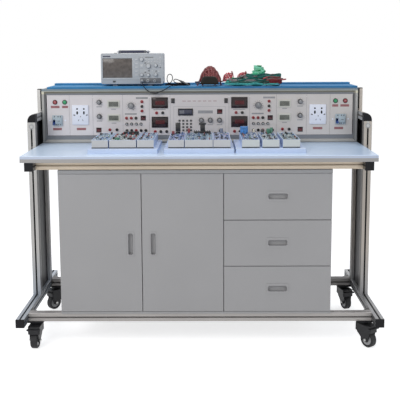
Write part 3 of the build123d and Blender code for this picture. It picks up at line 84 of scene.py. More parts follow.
def noise(tree, scale, detail, stretch=None):
    """Noise in object space, with its scale in waves per metre."""
    source = add(tree, "TexCoord", {}).outputs["Object"]
    if stretch:
        source = add(tree, "Mapping", {"Scale": stretch, "Vector": source}).outputs["Vector"]
    return add(tree, "TexNoise", {"Scale": scale, "Detail": detail, "Vector": source}).outputs["Fac"]


def ramp(tree, value, low, high, start=0.3, end=0.7):
    """Colour that runs from low to high with a value."""
    node = add(tree, "ValToRGB", {"Fac": value})
    for element, position, color in zip(node.color_ramp.elements, (start, end), (low, high)):
        element.position = position
        element.color = (*color, 1)
    return node.outputs["Color"]


def remap(tree, value, low, high, start=0.0, end=1.0):
    """A value between start and end, moved to between low and high."""
    inputs = {"Value": value, "From Min": start, "From Max": end, "To Min": low, "To Max": high}
    return add(tree, "MapRange", inputs).outputs["Result"]


def finish(name, color, vary, rough, spread=0.08, metal=0.0, grain=900.0, depth=0.00004, strength=0.2,
           cloud=6.0, stretch=None, coat=0.0, specular=0.5):
    """Surface with cloudy colour, uneven gloss and a fine grain."""
    material, tree, bsdf = shader(name)
    low, high = ([min(1.0, c * (1 + change)) for c in color] for change in (-vary, vary))
    clouds = noise(tree, cloud, 4.0)
    fine = noise(tree, grain, 2.0, stretch)
    bumps = add(tree, "Bump", {"Height": fine, "Strength": strength, "Distance": depth})
    feed(tree, bsdf, {"Base Color": ramp(tree, clouds, low, high), "Normal": bumps.outputs["Normal"],
                      "Roughness": remap(tree, fine, rough - spread, rough + spread),
                      "Metallic": metal, "Coat Weight": coat, "Specular IOR Level": specular})
    return material


def glazed(name, color, tint, rough=0.12):
    """Dark window behind clear plastic, with a faint cloud in it."""
    material, tree, bsdf = shader(name)
    feed(tree, bsdf, {"Base Color": ramp(tree, noise(tree, 60, 2.0), color, tint),
                      "Roughness": remap(tree, noise(tree, 900, 1.0), rough - 0.04, rough + 0.06),
                      "Coat Weight": 0.3, "Coat Roughness": 0.08, "Specular IOR Level": 0.3})
    return material


M = {
    "lcd_glass": glazed("lcd_glass", (0.15, 0.155, 0.135), (0.21, 0.215, 0.185)),
    "led_glass": glazed("led_glass", (0.018, 0.01, 0.011), (0.03, 0.012, 0.014)),
    "scope_glass": glazed("scope_glass", (0.088, 0.074, 0.067), (0.16, 0.135, 0.12), 0.16),
    "violet_glass": glazed("violet_glass", (0.05, 0.052, 0.085), (0.08, 0.082, 0.125)),
}


def finishes(surface, **colors):
    """Finishes of one kind of surface, each as colour, variation, roughness and what it has of its own."""
    for key, (color, vary, rough, *own) in colors.items():
        M[key] = finish(key, color, vary, rough, **{**surface, **(own[0] if own else {})})


# Drawn metal, with its grain along the bar.
finishes(
    {"strength": 0.25, "cloud": 5},
    aluminium=((0.5, 0.49, 0.475), 0.05, 0.42, {"metal": 0.35, "stretch": (1, 1, 0.02)}),
    # aluminium_x's warm tan is painted light where the rails catch it; lower down it is painted shaded.
    aluminium_x=((0.63, 0.53, 0.41), 0.05, 0.42, {"metal": 0.4, "stretch": (0.02, 1, 1)}),
    frame_bar=((0.365, 0.365, 0.35), 0.05, 0.45,
               {"spread": 0.07, "metal": 0.35, "depth": 0.00003, "strength": 0.2,
                "stretch": (0.02, 1, 1)}),
    # arm_face is a lit copy of the aluminium for the arms' faces, painted light against the shaded side
    # faces.
    arm_face=((0.4, 0.4, 0.4), 0.06, 0.42, {"metal": 0.2, "stretch": (1, 0.02, 1)}))
# Plated steel.
finishes(
    {"grain": 700, "depth": 0.00005},
    zinc=((0.58, 0.58, 0.57), 0.1, 0.38, {"spread": 0.1, "metal": 0.9}),
    bracket=((0.5, 0.5, 0.49), 0.1, 0.42, {"metal": 0.5}),
    internals=((0.25, 0.235, 0.21), 0.1, 0.5,
               {"spread": 0.1, "metal": 0.5, "grain": 400, "depth": 0.0001, "strength": 0.25}))
# Powder coat.
finishes(
    {"spread": 0.06, "grain": 700, "depth": 0.00009, "strength": 0.18, "cloud": 3},
    cabinet=((0.39, 0.385, 0.39), 0.025, 0.46),
    carcass=((0.365, 0.365, 0.37), 0.03, 0.48),
    shell=((0.22, 0.23, 0.25), 0.05, 0.5, {"strength": 0.2}),
    scope_case=((0.34, 0.36, 0.41), 0.04, 0.5,
                {"grain": 900, "depth": 0.00012, "strength": 0.3, "cloud": 8}))
# Glossy plastic.
finishes(
    {"spread": 0.05, "grain": 1200, "depth": 0.00003, "strength": 0.15, "coat": 0.3},
    red=((0.34, 0.022, 0.032), 0.12, 0.3),
    green=((0.02, 0.3, 0.11), 0.12, 0.3),
    black=((0.014, 0.014, 0.016), 0.2, 0.28, {"spread": 0.06, "coat": 0.25}),
    rocker_red=((0.13, 0.014, 0.017), 0.12, 0.32),
    rocker_wine=((0.09, 0.018, 0.024), 0.2, 0.3),
    lever_blue=((0.03, 0.07, 0.26), 0.12, 0.32))
# Smooth paint.
finishes(
    {"spread": 0.05, "grain": 1200, "depth": 0.00003, "strength": 0.15},
    panel=((0.71, 0.68, 0.685), 0.03, 0.42, {"cloud": 8}),
    laminate=((0.6, 0.72, 0.88), 0.025, 0.33,
              {"grain": 1400, "depth": 0.00004, "strength": 0.12, "cloud": 3, "coat": 0.15}),
    laminate_edge=((0.56, 0.63, 0.77), 0.03, 0.4, {"strength": 0.12, "cloud": 4}),
    scope_line=((0.22, 0.22, 0.215), 0.1, 0.5),
    comp_red=((0.26, 0.06, 0.065), 0.12, 0.35),
    comp_green=((0.07, 0.22, 0.15), 0.12, 0.35),
    comp_blue=((0.1, 0.16, 0.3), 0.12, 0.35),
    sky=((0.08, 0.27, 0.62), 0.5, 0.35, {"cloud": 90}))
# Moulded plastic.
finishes(
    {"spread": 0.05, "grain": 1200, "strength": 0.15},
    white=((0.85, 0.87, 0.96), 0.025, 0.38, {"cloud": 8, "coat": 0.1}),
    tray=((0.6, 0.7, 0.9), 0.025, 0.38, {"cloud": 8, "coat": 0.1}),
    module=((0.6, 0.595, 0.585), 0.03, 0.42, {"cloud": 10}),
    lcd_bezel=((0.66, 0.65, 0.585), 0.04, 0.45),
    # edge_band is painted shade for the lower strip of the worktop's front edge.
    edge_band=((0.4, 0.39, 0.385), 0.04, 0.5, {"cloud": 4}))
# Matt plastic.
finishes(
    {"spread": 0.06, "grain": 1200},
    scope_face=((0.49, 0.51, 0.535), 0.03, 0.42, {"spread": 0.05, "depth": 0.00005, "cloud": 8}),
    scope_key=((0.62, 0.63, 0.64), 0.05, 0.4, {"spread": 0.05}),
    scope_band=((0.17, 0.17, 0.18), 0.08, 0.45),
    scope_dark=((0.045, 0.045, 0.052), 0.1, 0.45, {"depth": 0.00005, "strength": 0.25}),
    handle=((0.13, 0.135, 0.15), 0.08, 0.45, {"depth": 0.00005, "strength": 0.25}),
    breaker=((0.42, 0.5, 0.55), 0.03, 0.4, {"spread": 0.05}),
    pull_rim=((0.17, 0.17, 0.18), 0.08, 0.42, {"depth": 0.00005}),
    navy=((0.035, 0.038, 0.075), 0.12, 0.45),
    chip=((0.02, 0.02, 0.022), 0.2, 0.4),
    cream=((0.68, 0.62, 0.5), 0.12, 0.4, {"grain": 900}),
    light_blue=((0.17, 0.2, 0.28), 0.12, 0.35, {"grain": 900}),
    hub=((0.45, 0.45, 0.46), 0.08, 0.45, {"grain": 1000, "depth": 0.00005}))
# Knobs and bezels.
finishes(
    {"spread": 0.06, "grain": 1400},
    knob_black=((0.14, 0.14, 0.145), 0.2, 0.5, {"depth": 0.00006, "strength": 0.3, "specular": 0.3}),
    knob_grey=((0.25, 0.25, 0.26), 0.12, 0.5, {"depth": 0.00006, "strength": 0.3}),
    knob_cap=((0.27, 0.27, 0.28), 0.08, 0.5),
    key_cap=((0.07, 0.07, 0.075), 0.12, 0.45),
    led_bezel=((0.012, 0.009, 0.01), 0.15, 0.35, {"specular": 0.2}),
    dark_bezel=((0.018, 0.018, 0.021), 0.15, 0.42,
                {"depth": 0.00005, "strength": 0.25, "specular": 0.25}),
    black_plastic=((0.012, 0.012, 0.014), 0.2, 0.45,
                   {"spread": 0.08, "grain": 1500, "depth": 0.00006, "strength": 0.3, "specular": 0.16}))
# Print and lit figures.
finishes(
    {"spread": 0.05, "depth": 0.00002, "strength": 0.1},
    print_red=((0.33, 0.135, 0.14), 0.12, 0.5, {"cloud": 90}),
    print_dark=((0.1, 0.1, 0.11), 0.15, 0.5, {"cloud": 90}),
    print_grey=((0.33, 0.33, 0.34), 0.1, 0.5, {"cloud": 90}),
    white_print=((0.72, 0.74, 0.76), 0.04, 0.5),
    pointer=((0.55, 0.55, 0.55), 0.04, 0.5),
    led_digit=((0.22, 0.035, 0.04), 0.15, 0.3),
    led_cell=((0.06, 0.012, 0.014), 0.15, 0.3, {"specular": 0.2}),
    lcd_digit=((0.06, 0.07, 0.06), 0.15, 0.4))
# Cord sheaths.
finishes(
    {"grain": 1400, "cloud": 40},
    cable=((0.006, 0.006, 0.01), 0.2, 0.6, {"cloud": 6, "specular": 0.1}),
    cable_red=((0.3, 0.1, 0.1), 0.2, 0.45, {"specular": 0.25}),
    cable_wine=((0.15, 0.016, 0.02), 0.2, 0.45, {"specular": 0.25}),
    cable_rose=((0.6, 0.1, 0.12), 0.2, 0.45),
    cable_teal=((0.018, 0.155, 0.135), 0.25, 0.45, {"specular": 0.3}),
    cable_green=((0.085, 0.58, 0.32), 0.25, 0.45, {"specular": 0.3}),
    # cable_deep is a dark green painted as shade on some strands of the teal bundle and of the lump.
    cable_deep=((0.01, 0.085, 0.06), 0.25, 0.45),
    cable_cyan=((0.06, 0.42, 0.4), 0.25, 0.45),
    cable_mint=((0.28, 0.84, 0.58), 0.25, 0.45),
    cable_grey=((0.3, 0.27, 0.29), 0.2, 0.45))
# One of a kind.
finishes(
    {},
    infill=((0.02, 0.02, 0.023), 0.15, 0.5, {"depth": 0.00008, "strength": 0.3, "specular": 0.3}),
    blue_mat=((0.034, 0.2, 0.42), 0.12, 0.72,
              {"grain": 1600, "depth": 0.0002, "strength": 0.5, "cloud": 12}),
    pouch=((0.013, 0.012, 0.01), 0.3, 0.55,
           {"spread": 0.12, "grain": 300, "depth": 0.0006, "strength": 0.6, "cloud": 30,
            "specular": 0.15}),
    castor=((0.018, 0.018, 0.02), 0.2, 0.4,
            {"metal": 0.2, "depth": 0.00008, "strength": 0.25, "specular": 0.35}),
    tread=((0.03, 0.03, 0.032), 0.2, 0.62, {"depth": 0.0001, "strength": 0.35, "specular": 0.3}),
    slot_dark=((0.008, 0.008, 0.009), 0.2, 0.6, {"depth": 0.00003, "strength": 0.15, "specular": 0.15}))


def paint_light_and_shade(key, **spans):
    """Paints light and shade into a finish's colour, along x, y or z of the place, or along nx or nz of the
    way that a face looks.
    """
    tree = M[key].node_tree
    bsdf = tree.nodes["Principled BSDF"]
    source = bsdf.inputs["Base Color"].links[0].from_socket
    geometry = add(tree, "NewGeometry", {})
    for span, (start, end, low, high) in spans.items():
        vector = geometry.outputs["Normal" if span[0] == "n" else "Position"]
        value = add(tree, "SeparateXYZ", {0: vector}).outputs["xyz".index(span[-1])]
        if span == "nx":
            size = add(tree, "Math", {0: value})
            size.operation = "ABSOLUTE"
            value = size.outputs[0]
        tint = ramp(tree, remap(tree, value, 0.0, 1.0, start, end), low, high, 0.0, 1.0)
        mix = add(tree, "Mix", {0: 1.0})
        mix.data_type = "RGBA"
        mix.blend_type = "MULTIPLY"
        feed(tree, mix, {6: source, 7: tint})
        source = mix.outputs[2]
    feed(tree, bsdf, {"Base Color": source})


WHITE = (1, 1, 1)
# Painted light and shade on the side frames' aluminium: faces looking along x painted dark as shaded sides,
# the lowest parts painted darker and bluer as shade under the table, the rear posts painted lighter, and the
# right side painted darker and warmer, away from the key light.
paint_light_and_shade("aluminium", nx=(0.5, 0.9, WHITE, (0.28, 0.28, 0.28)), z=(0.12, 0.4, (0.82, 0.92, 1.08), WHITE),
       y=(0.1, 0.22, WHITE, (1.3, 1.3, 1.3)), x=(-0.6, 0.6, WHITE, (0.94, 0.87, 0.8)))
# Painted light and shade on the cross rails: lower rails painted darker and bluer as shade under the table,
# rear rails painted darker, and upward-looking faces painted lighter as lit tops.
paint_light_and_shade("aluminium_x", z=(0.25, 0.8, (0.63, 0.71, 0.88), WHITE), y=(-0.25, 0.15, WHITE, (0.55, 0.55, 0.56)),
       nz=(0.5, 0.9, WHITE, (1.2, 1.2, 1.25)))
# Painted light and shade on the console frame: down-looking bevels and faces looking along x painted dark as
# shaded, a painted light band high on the top bar, a bluish painted shadow above it under the mat's edge, and
# a painted shade line below the top bar.
paint_light_and_shade("frame_bar", nz=(-0.7, -0.3, (0.34, 0.32, 0.3), WHITE), nx=(0.3, 0.6, WHITE, (0.4, 0.4, 0.41)),
       z=(1.168, 1.179, (1.65, 1.58, 1.3), (0.38, 0.52, 0.68)))
paint_light_and_shade("frame_bar", z=(1.157, 1.162, (0.61, 0.63, 0.77), WHITE))
# Brackets painted darker low down, as shade under the table.
paint_light_and_shade("bracket", z=(0.3, 0.7, (0.18, 0.18, 0.18), WHITE))
# The mat painted darker towards the right, as light falling off from the left.
paint_light_and_shade("blue_mat", x=(-0.5, 0.6, (0.88, 1.04, 1.03), (0.7, 0.84, 0.87)))
# The worktop painted darker towards the right, as light falling off from the left, and lighter at its front,
# as a painted highlight.
paint_light_and_shade("laminate", x=(0.3, 0.75, WHITE, (0.88, 0.92, 0.97)), y=(-0.39, -0.18, (1.08, 1.07, 1.08), WHITE))
# The panels painted lighter at the left and darker and warmer at the right, as light falling off from the
# left.
paint_light_and_shade("panel", x=(-0.65, 0.65, (1.07, 1.05, 1.05), (0.94, 0.92, 0.87)))
# The scope case's upward-looking faces painted darker, as shade on its top.
paint_light_and_shade("scope_case", nz=(0.5, 0.9, WHITE, (0.82, 0.82, 0.87)))
# Faces of the trays that look along x painted darker, as shade between the trays.
paint_light_and_shade("tray", nx=(0.5, 0.9, WHITE, (0.72, 0.76, 0.82)))
# Module fronts painted lighter on the third tray, as painted light.
paint_light_and_shade("module", x=(0.1, 0.22, WHITE, (1.1, 1.15, 1.12)))

FINISH = {
    "side_frames": "aluminium", "cross_rails": "aluminium_x", "black_fittings": "black_plastic",
    "steel_fittings": "bracket", "infill_panels": "infill", "worktop": "laminate",
    "cabinet_carcass": "carcass", "console_shell": "shell", "console_frame": "frame_bar",
    "console_internals": "internals", "front_panels": "panel", "top_mat": "blue_mat",
    "power_fittings": "white", "switch_bezels": "dark_bezel", "sockets_red": "red",
    "sockets_black": "black", "lcd_meters": "lcd_bezel", "led_meters": "led_bezel",
    "scope_case": "scope_case", "scope_front": "scope_face", "scope_handle": "handle",
    "castor_fork": "castor", "castor_wheel": "tread", "door": "cabinet", "drawer": "cabinet",
    "button_red": "red", "button_green": "green", "knob_selector": "knob_grey", "knob": "knob_black",
    "rocker_select": "rocker_wine", "rocker": "rocker_red", "breaker_lever": "lever_blue",
    "module_tray": "tray", "probe": "cable", "lead_bundles": "cable",
}
for node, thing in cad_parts.items():
    start = max((key for key in FINISH if node.startswith(key)), key=len)
    thing.data.materials.clear()
    thing.data.materials.append(M[FINISH[start]])


# ------------------------------------------------------------ mesh builders
def new_object(name, data):
    """Object with this data, in the scene."""
    thing = bpy.data.objects.new(name, data)
    bpy.context.scene.collection.objects.link(thing)
    return thing


class Piece:
    """Collects shapes of one finish into one object that rides on a body."""

    def __init__(self, name, material, body="bench"):
        self.name, self.material, self.body = name, material, body
        self.bm = bmesh.new()

    def take(self, other):
        mesh = bpy.data.meshes.new("part")
        other.to_mesh(mesh)
        other.free()
        self.bm.from_mesh(mesh)
        bpy.data.meshes.remove(mesh)
        return self

    def box(self, low, high, bevel=0.0004, segments=2, turn=None):
        """Box between two corners, turned about its own middle."""
        part = bmesh.new()
        bmesh.ops.create_cube(part, size=1.0)
        size = [abs(b - a) for a, b in zip(low, high)]
        bmesh.ops.scale(part, vec=size, verts=part.verts)
        bmesh.ops.bevel(part, geom=part.edges[:], offset=min(bevel, 0.45 * min(size)), segments=segments,
                        affect="EDGES", profile=0.5)
        middle = Vector([(a + b) / 2 for a, b in zip(low, high)])
        matrix = Matrix.Translation(middle) @ (turn or Matrix())
        bmesh.ops.transform(part, matrix=matrix, verts=part.verts)
        return self.take(part)

    def plates(self, spans, bevel=0.0003, segments=2):
        """Upright plates, each given as (x0, x1), (z0, z1) and (front, back)."""
        for (x0, x1), (z0, z1), (front, back) in spans:
            self.box((x0, front, z0), (x1, back, z1), bevel, segments)
        return self

    def lathe(self, profile, matrix, steps=28):
        """Turns (radius, height) points, in millimetres, round the matrix's own Z axis."""
        part = bmesh.new()
        rings = []
        for radius, height in [(radius / 1000, height / 1000) for radius, height in profile]:
            count = steps if radius > 1e-7 else 1
            angles = [2 * math.pi * i / steps for i in range(count)]
            ring = [Vector((radius * math.cos(a), radius * math.sin(a), height)) for a in angles]
            rings.append([part.verts.new(matrix @ point) for point in ring])
        for a, b in zip(rings, rings[1:]):
            for i in range(steps):
                j = (i + 1) % steps
                corners = [a[i % len(a)], a[j % len(a)], b[j % len(b)], b[i % len(b)]]
                unique = list(dict.fromkeys(corners))
                if len(unique) > 2:
                    part.faces.new(unique)
        bmesh.ops.recalc_face_normals(part, faces=part.faces)
        return self.take(part)

    def prism(self, outline, matrix, depth, bevel=0.0):
        """Outline in the matrix's XY plane, pushed along its Z."""
        part = bmesh.new()
        face = part.faces.new([part.verts.new(matrix @ Vector((x, y, 0))) for x, y in outline])
        grown = bmesh.ops.extrude_face_region(part, geom=[face])
        verts = [v for v in grown["geom"] if isinstance(v, bmesh.types.BMVert)]
        push = matrix.to_3x3() @ Vector((0, 0, depth))
        bmesh.ops.translate(part, vec=push, verts=verts)
        bmesh.ops.recalc_face_normals(part, faces=part.faces)
        if bevel:
            bmesh.ops.bevel(part, geom=part.edges[:], offset=bevel, segments=2, affect="EDGES", profile=0.5)
        return self.take(part)

    def done(self):
        mesh = bpy.data.meshes.new(self.name)
        self.bm.to_mesh(mesh)
        self.bm.free()
        thing = new_object(self.name, mesh)
        mesh.materials.append(M[self.material])
        mesh.shade_smooth()
        mesh.set_sharp_from_angle(angle=math.radians(35.0))
        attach(thing, self.body)
        return thing


def around(x, z, wide, high, depth):
    """Upright plate about its middle, as Piece.plates takes it."""
    return (x - wide / 2, x + wide / 2), (z - high / 2, z + high / 2), depth


def middle_of(node):
    """Middle of a part of the frame, across and up."""
    low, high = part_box(node)
    return (low[0] + high[0]) / 2, (low[2] + high[2]) / 2


def out(x, y, z):
    """Matrix whose Z axis points at the user, for things on the console."""
    return Matrix.Translation((x, y, z)) @ Matrix.Rotation(math.pi / 2, 4, "X")


def rounded(w, h, r, steps=4):
    """Rounded rectangle as a list of points."""
    points = []
    for cx, cy, start in ((w / 2 - r, h / 2 - r, 0), (-w / 2 + r, h / 2 - r, 90),
                          (-w / 2 + r, -h / 2 + r, 180), (w / 2 - r, -h / 2 + r, 270)):
        for i in range(steps + 1):
            angle = math.radians(start + 90 * i / steps)
            points.append((cx + r * math.cos(angle), cy + r * math.sin(angle)))
    return points


# ------------------------------------------------------------ camera, light
FOCAL_PX, IMAGE_PX, AXIS_ROW = 760.95, 400.0, 150.0
PITCH, YAW, ROLL = 0.13282, -0.00896, -0.00487
EYE = (0.03583, -3.72382, 1.38483)
scene = bpy.context.scene
camera_data = bpy.data.cameras.new("camera")
camera = new_object("camera", camera_data)
forward = Vector((math.sin(YAW) * math.cos(PITCH), math.cos(YAW) * math.cos(PITCH), -math.sin(PITCH)))
level = Vector((math.cos(YAW), -math.sin(YAW), 0))
upright = level.cross(forward)
right = math.cos(ROLL) * level + math.sin(ROLL) * upright
up = -math.sin(ROLL) * level + math.cos(ROLL) * upright
camera.matrix_world = Matrix([(*row, 0) for row in zip(right, up, -forward)] + [(0, 0, 0, 1)])
camera.matrix_world.translation = EYE
camera_data.sensor_width = 36.0
camera_data.lens = camera_data.sensor_width * FOCAL_PX / IMAGE_PX
camera_data.shift_y = (AXIS_ROW - IMAGE_PX / 2) / IMAGE_PX
camera_data.clip_end = 60.0
scene.camera = camera
scene.view_settings.view_transform = "Standard"


def area_light(name, place, target, size, power, color):
    data = bpy.data.lights.new(name, "AREA")
    data.shape = "RECTANGLE"
    data.size, data.size_y = size
    data.energy = power
    data.color = color
    lamp = new_object(name, data)
    lamp.location = place
    lamp.rotation_euler = (Vector(target) - Vector(place)).to_track_quat("-Z", "Y").to_euler()


area_light("key", (-2.4, -3.4, 3.2), (0, 0, 0.7), (2.6, 2.0), 80, (1.0, 0.99, 0.97))
area_light("fill", (2.8, -3.0, 2.0), (0, 0, 0.7), (2.4, 2.4), 20, (0.97, 0.98, 1.0))
area_light("top", (0, 0.6, 3.6), (0, 0, 0.9), (3.2, 2.0), 41, (0.98, 0.99, 1.0))


def seen_directly(tree):
    """1 for camera, glossy and transmission rays, else 0."""
    path = add(tree, "LightPath", {})
    most = path.outputs["Is Camera Ray"]
    for ray in ("Is Glossy Ray", "Is Transmission Ray"):
        larger = add(tree, "Math", {0: most, 1: path.outputs[ray]})
        larger.operation = "MAXIMUM"
        most = larger.outputs[0]
    return most


def choose(tree, otherwise, directly, output):
    """Sends one shader to the rays that see it directly, and the other to the rest."""
    inputs = {"Fac": seen_directly(tree), 1: otherwise.outputs[0], 2: directly.outputs[0]}
    feed(tree, output, {"Surface": add(tree, "MixShader", inputs).outputs[0]})


scene.world = bpy.data.worlds.new("world")
scene.world.use_nodes = True
heaven = scene.world.node_tree
heaven.nodes.clear()
dim = add(heaven, "Background", {"Color": (0.93, 0.96, 1.0, 1), "Strength": 0.36})
plain_white = add(heaven, "Background", {"Color": (1, 1, 1, 1), "Strength": 1.0})
choose(heaven, dim, plain_white, add(heaven, "OutputWorld", {}))

floor_mesh = bpy.data.meshes.new("floor")
floor_bm = bmesh.new()
bmesh.ops.create_grid(floor_bm, x_segments=2, y_segments=2, size=9.0)
floor_bm.to_mesh(floor_mesh)
floor_bm.free()
floor = new_object("floor", floor_mesh)
floor_material, ground, paint = shader("floor")
feed(ground, paint, {"Base Color": (0.86, 0.86, 0.87, 1), "Roughness": 0.9, "Specular IOR Level": 0.1})
glow = add(ground, "Emission", {"Strength": 0.7})
bright = add(ground, "AddShader", {0: paint.outputs[0], 1: glow.outputs[0]})
choose(ground, paint, bright, ground.nodes["Material Output"])
floor_mesh.materials.append(floor_material)


# -------------------------------------------------------------------- leads
LEAD, PROBE_CORD = 0.0032, 0.004               # diameters


def cord_line(name, points, diameter, material):
    """Smooth cord through its control points."""
    curve = bpy.data.curves.new(name, "CURVE")
    curve.dimensions = "3D"
    curve.bevel_depth = diameter / 2
    curve.bevel_resolution = 3
    curve.resolution_u = 5
    curve.use_fill_caps = True
    spline = curve.splines.new("NURBS")
    spline.points.add(len(points) - 1)
    for point, place in zip(spline.points, points):
        point.co = (*place, 1.0)
    spline.order_u = 3
    spline.use_endpoint_u = True
    curve.materials.append(M[material])
    thing = new_object(name, curve)
    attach(thing, "bench")
    return thing


def spline_length(points):
    """Length of the smooth line: it cuts each corner at the run's middle."""
    total = 0.0
    middles = [points[0]] + [(a + b) / 2 for a, b in zip(points, points[1:])] + [points[-1]]
    for before, corner, after in zip(middles, points, middles[1:]):
        straight = (after - before).length
        around = (corner - before).length + (after - corner).length
        total += (2 * straight + around) / 3
    return total


def used_up(points, length):
    return len(points) > 2 and spline_length(points) >= length


def facing(end, towards):
    """Matrix at a cord's end whose Z axis carries on from it."""
    return Matrix.Translation(end) @ towards.to_track_quat("Z", "Y").to_matrix().to_4x4()


def banana_plug(name, end, towards, color):
    """Sleeve of a 4 mm plug that carries on from a lead's end."""
    profile = [(0, -1), (2.2, -1), (3, 6), (3.8, 9), (3.8, 24), (3, 25), (2, 25), (2, 26.2), (0, 26.2)]
    return Piece(name, color).lathe(profile, facing(end, towards), 12).done()


def lead(name, points, sheath, color):
    """Patch lead with a plug on its far end."""
    thing = cord_line(name, points, LEAD, sheath)
    plug = banana_plug(name + "_plug", points[-1], (points[-1] - points[-2]).normalized(), color)
    points[0]
    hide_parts("lead_bundles")


def coil(centre, radius, low, length, seed, tilt=0.008, squash=0.9, steps=12):
    """Loose round turns stacked on each other, until the lead is used up."""
    pick = random.Random(seed)
    lean, phase = pick.uniform(0.3, 1.0) * tilt, pick.uniform(0, 6.28)
    start, bulge = pick.uniform(0, 6.28), pick.uniform(0, 6.28)
    points = []
    while not used_up(points, length):
        turn = len(points) / steps
        angle = start + 2 * math.pi * turn
        r = radius * (1 + 0.07 * math.sin(2 * angle + bulge) + 0.05 * math.sin(0.73 * angle + phase))
        z = low + 1.12 * LEAD * turn + lean * (1 + math.sin(angle + phase))
        points.append(Vector((centre[0] + r * math.cos(angle), centre[1] + squash * r * math.sin(angle), z)))
    return points


def hank(x0, x1, y, z, half, slope, length, seed, wobble):
    """Lead folded to and fro between two ends, as a long flat loop on a slope."""
    pick = random.Random(seed)
    across = Vector((0, math.cos(slope), math.sin(slope)))
    above = Vector((0, -math.sin(slope), math.cos(slope)))
    waves = [(pick.uniform(7, 16), pick.uniform(0, 6.28), pick.uniform(0.4, 1.0)) for _ in range(4)]
    run = x1 - x0 - 2 * half
    points = []
    while not used_up(points, length):
        lap, i = divmod(len(points), 22)
        angle = math.radians(-90 + 45 * (i - 7) if i < 11 else 90 + 45 * (i - 18))
        if i < 8:
            u, v = x0 + half + run * i / 7, -half
        elif i < 11:
            u, v = x1 - half + half * math.cos(angle), half * math.sin(angle)
        elif i < 19:
            u, v = x1 - half - run * (i - 11) / 7, half
        else:
            u, v = x0 + half + half * math.cos(angle), half * math.sin(angle)
        shift = sum(a * math.sin(w * u * 6 + p) for w, p, a in waves[:2]) * wobble
        lift = sum(a * math.sin(w * u * 6 + p) for w, p, a in waves[2:]) * wobble * 0.6
        grown = 1.15 * LEAD * (lap + i / 22)
        points.append(Vector((u, y, MAT_Z + z)) + across * (v + shift) + above * (lift + grown))
    return points


def heap_height(table, rho):
    """Height of a heap at a distance from its middle."""
    for (r0, h0), (r1, h1) in zip(table, table[1:]):
        if rho <= r1:
            return h0 + (h1 - h0) * (rho - r0) / (r1 - r0)
    return table[-1][1]


def drape(centre, table, degrees, lanes, scale, length, seed, squash=1.0, steps=7):
    """Lead laid to and fro over a heap, in upright planes side by side."""
    pick = random.Random(seed)
    turn = math.radians(degrees)
    along = Vector((math.cos(turn), squash * math.sin(turn), 0))
    across = Vector((-math.sin(turn), squash * math.cos(turn), 0))
    middle = Vector((*centre, MAT_Z + 0.0018))
    foot = table[-2][0]
    points = []
    way, lap = 1, 0
    while True:
        lane = lanes[lap % len(lanes)] + pick.uniform(-0.0015, 0.0015)
        reach = math.sqrt(max(foot ** 2 - lane ** 2, (0.35 * foot) ** 2))
        bow, phase = pick.uniform(0.0004, 0.0014), pick.uniform(0, 6.28)
        for i in range(steps):
            t = way * reach * (2 * i / (steps - 1) - 1)
            side = lane + bow * math.sin(phase + 4.0 * i / steps)
            high = heap_height(table, math.hypot(t, side)) * (scale + pick.uniform(-0.012, 0.012))
            points.append(middle + Vector((0, 0, high)) + (along * t + across * side) * scale)
            if used_up(points, length):
                return points
        way, lap = -way, lap + 1


# Black probe lead: over the console's edge, back, round its oval coil, and up into two loops.
PROBE = [(-0.293, 0.163, 1.221), (-0.293, 0.143, 1.221), (-0.288, 0.124, 1.21), (-0.281, 0.102, 1.1994),
         (-0.273, 0.095, 1.1874), (-0.262, 0.093, 1.1764), (-0.247, 0.092, 1.1684), (-0.229, 0.092, 1.1654),
         (-0.211, 0.0925, 1.1664), (-0.194, 0.0925, 1.1714), (-0.178, 0.093, 1.1774), (-0.163, 0.095, 1.1864),
         (-0.151, 0.101, 1.1954), (-0.142, 0.113, 1.1994), (-0.134, 0.128, 1.1979), (-0.126, 0.144, 1.1974),
         (-0.117, 0.1585, 1.1979)]
CURL = [(-0.15, 0.215, 1.2045), (-0.163, 0.213, 1.21), (-0.168, 0.211, 1.224), (-0.167, 0.2095, 1.24),
        (-0.16, 0.209, 1.253), (-0.147, 0.2085, 1.254), (-0.139, 0.208, 1.242), (-0.139, 0.2075, 1.226),
        (-0.146, 0.2075, 1.213), (-0.157, 0.2075, 1.2065)]
TIP = [(-0.105, 0.215, 1.2085), (-0.118, 0.2125, 1.209), (-0.13, 0.205, 1.213), (-0.134, 0.195, 1.2225),
       (-0.126, 0.184, 1.2295), (-0.114, 0.177, 1.228), (-0.104, 0.172, 1.2235)]


def oval(first, height, count, half=0.038):
    """Points on a long oval that closes up and climbs a little with each turn."""
    points = []
    for step in range(count):
        turns = first + step / 15
        r = 0.0285 - 0.0012 * turns
        arc = math.pi * r
        u = (turns % 1) * (4 * half + 2 * arc)
        near, far = (u - 2 * half) / r, (u - 4 * half - arc) / r
        if u < 2 * half:
            x, y = u - half, -r
        elif u < 2 * half + arc:
            x, y = half + r * math.sin(near), -r * math.cos(near)
        elif u < 4 * half + arc:
            x, y = 3 * half + arc - u, r
        else:
            x, y = -half - r * math.sin(far), r * math.cos(far)
        z = height + 0.0042 * step / 15 + 0.0008 * math.sin(5 * turns)
        points.append(Vector((-0.112 + x, 0.19 + y, z)))
    return points


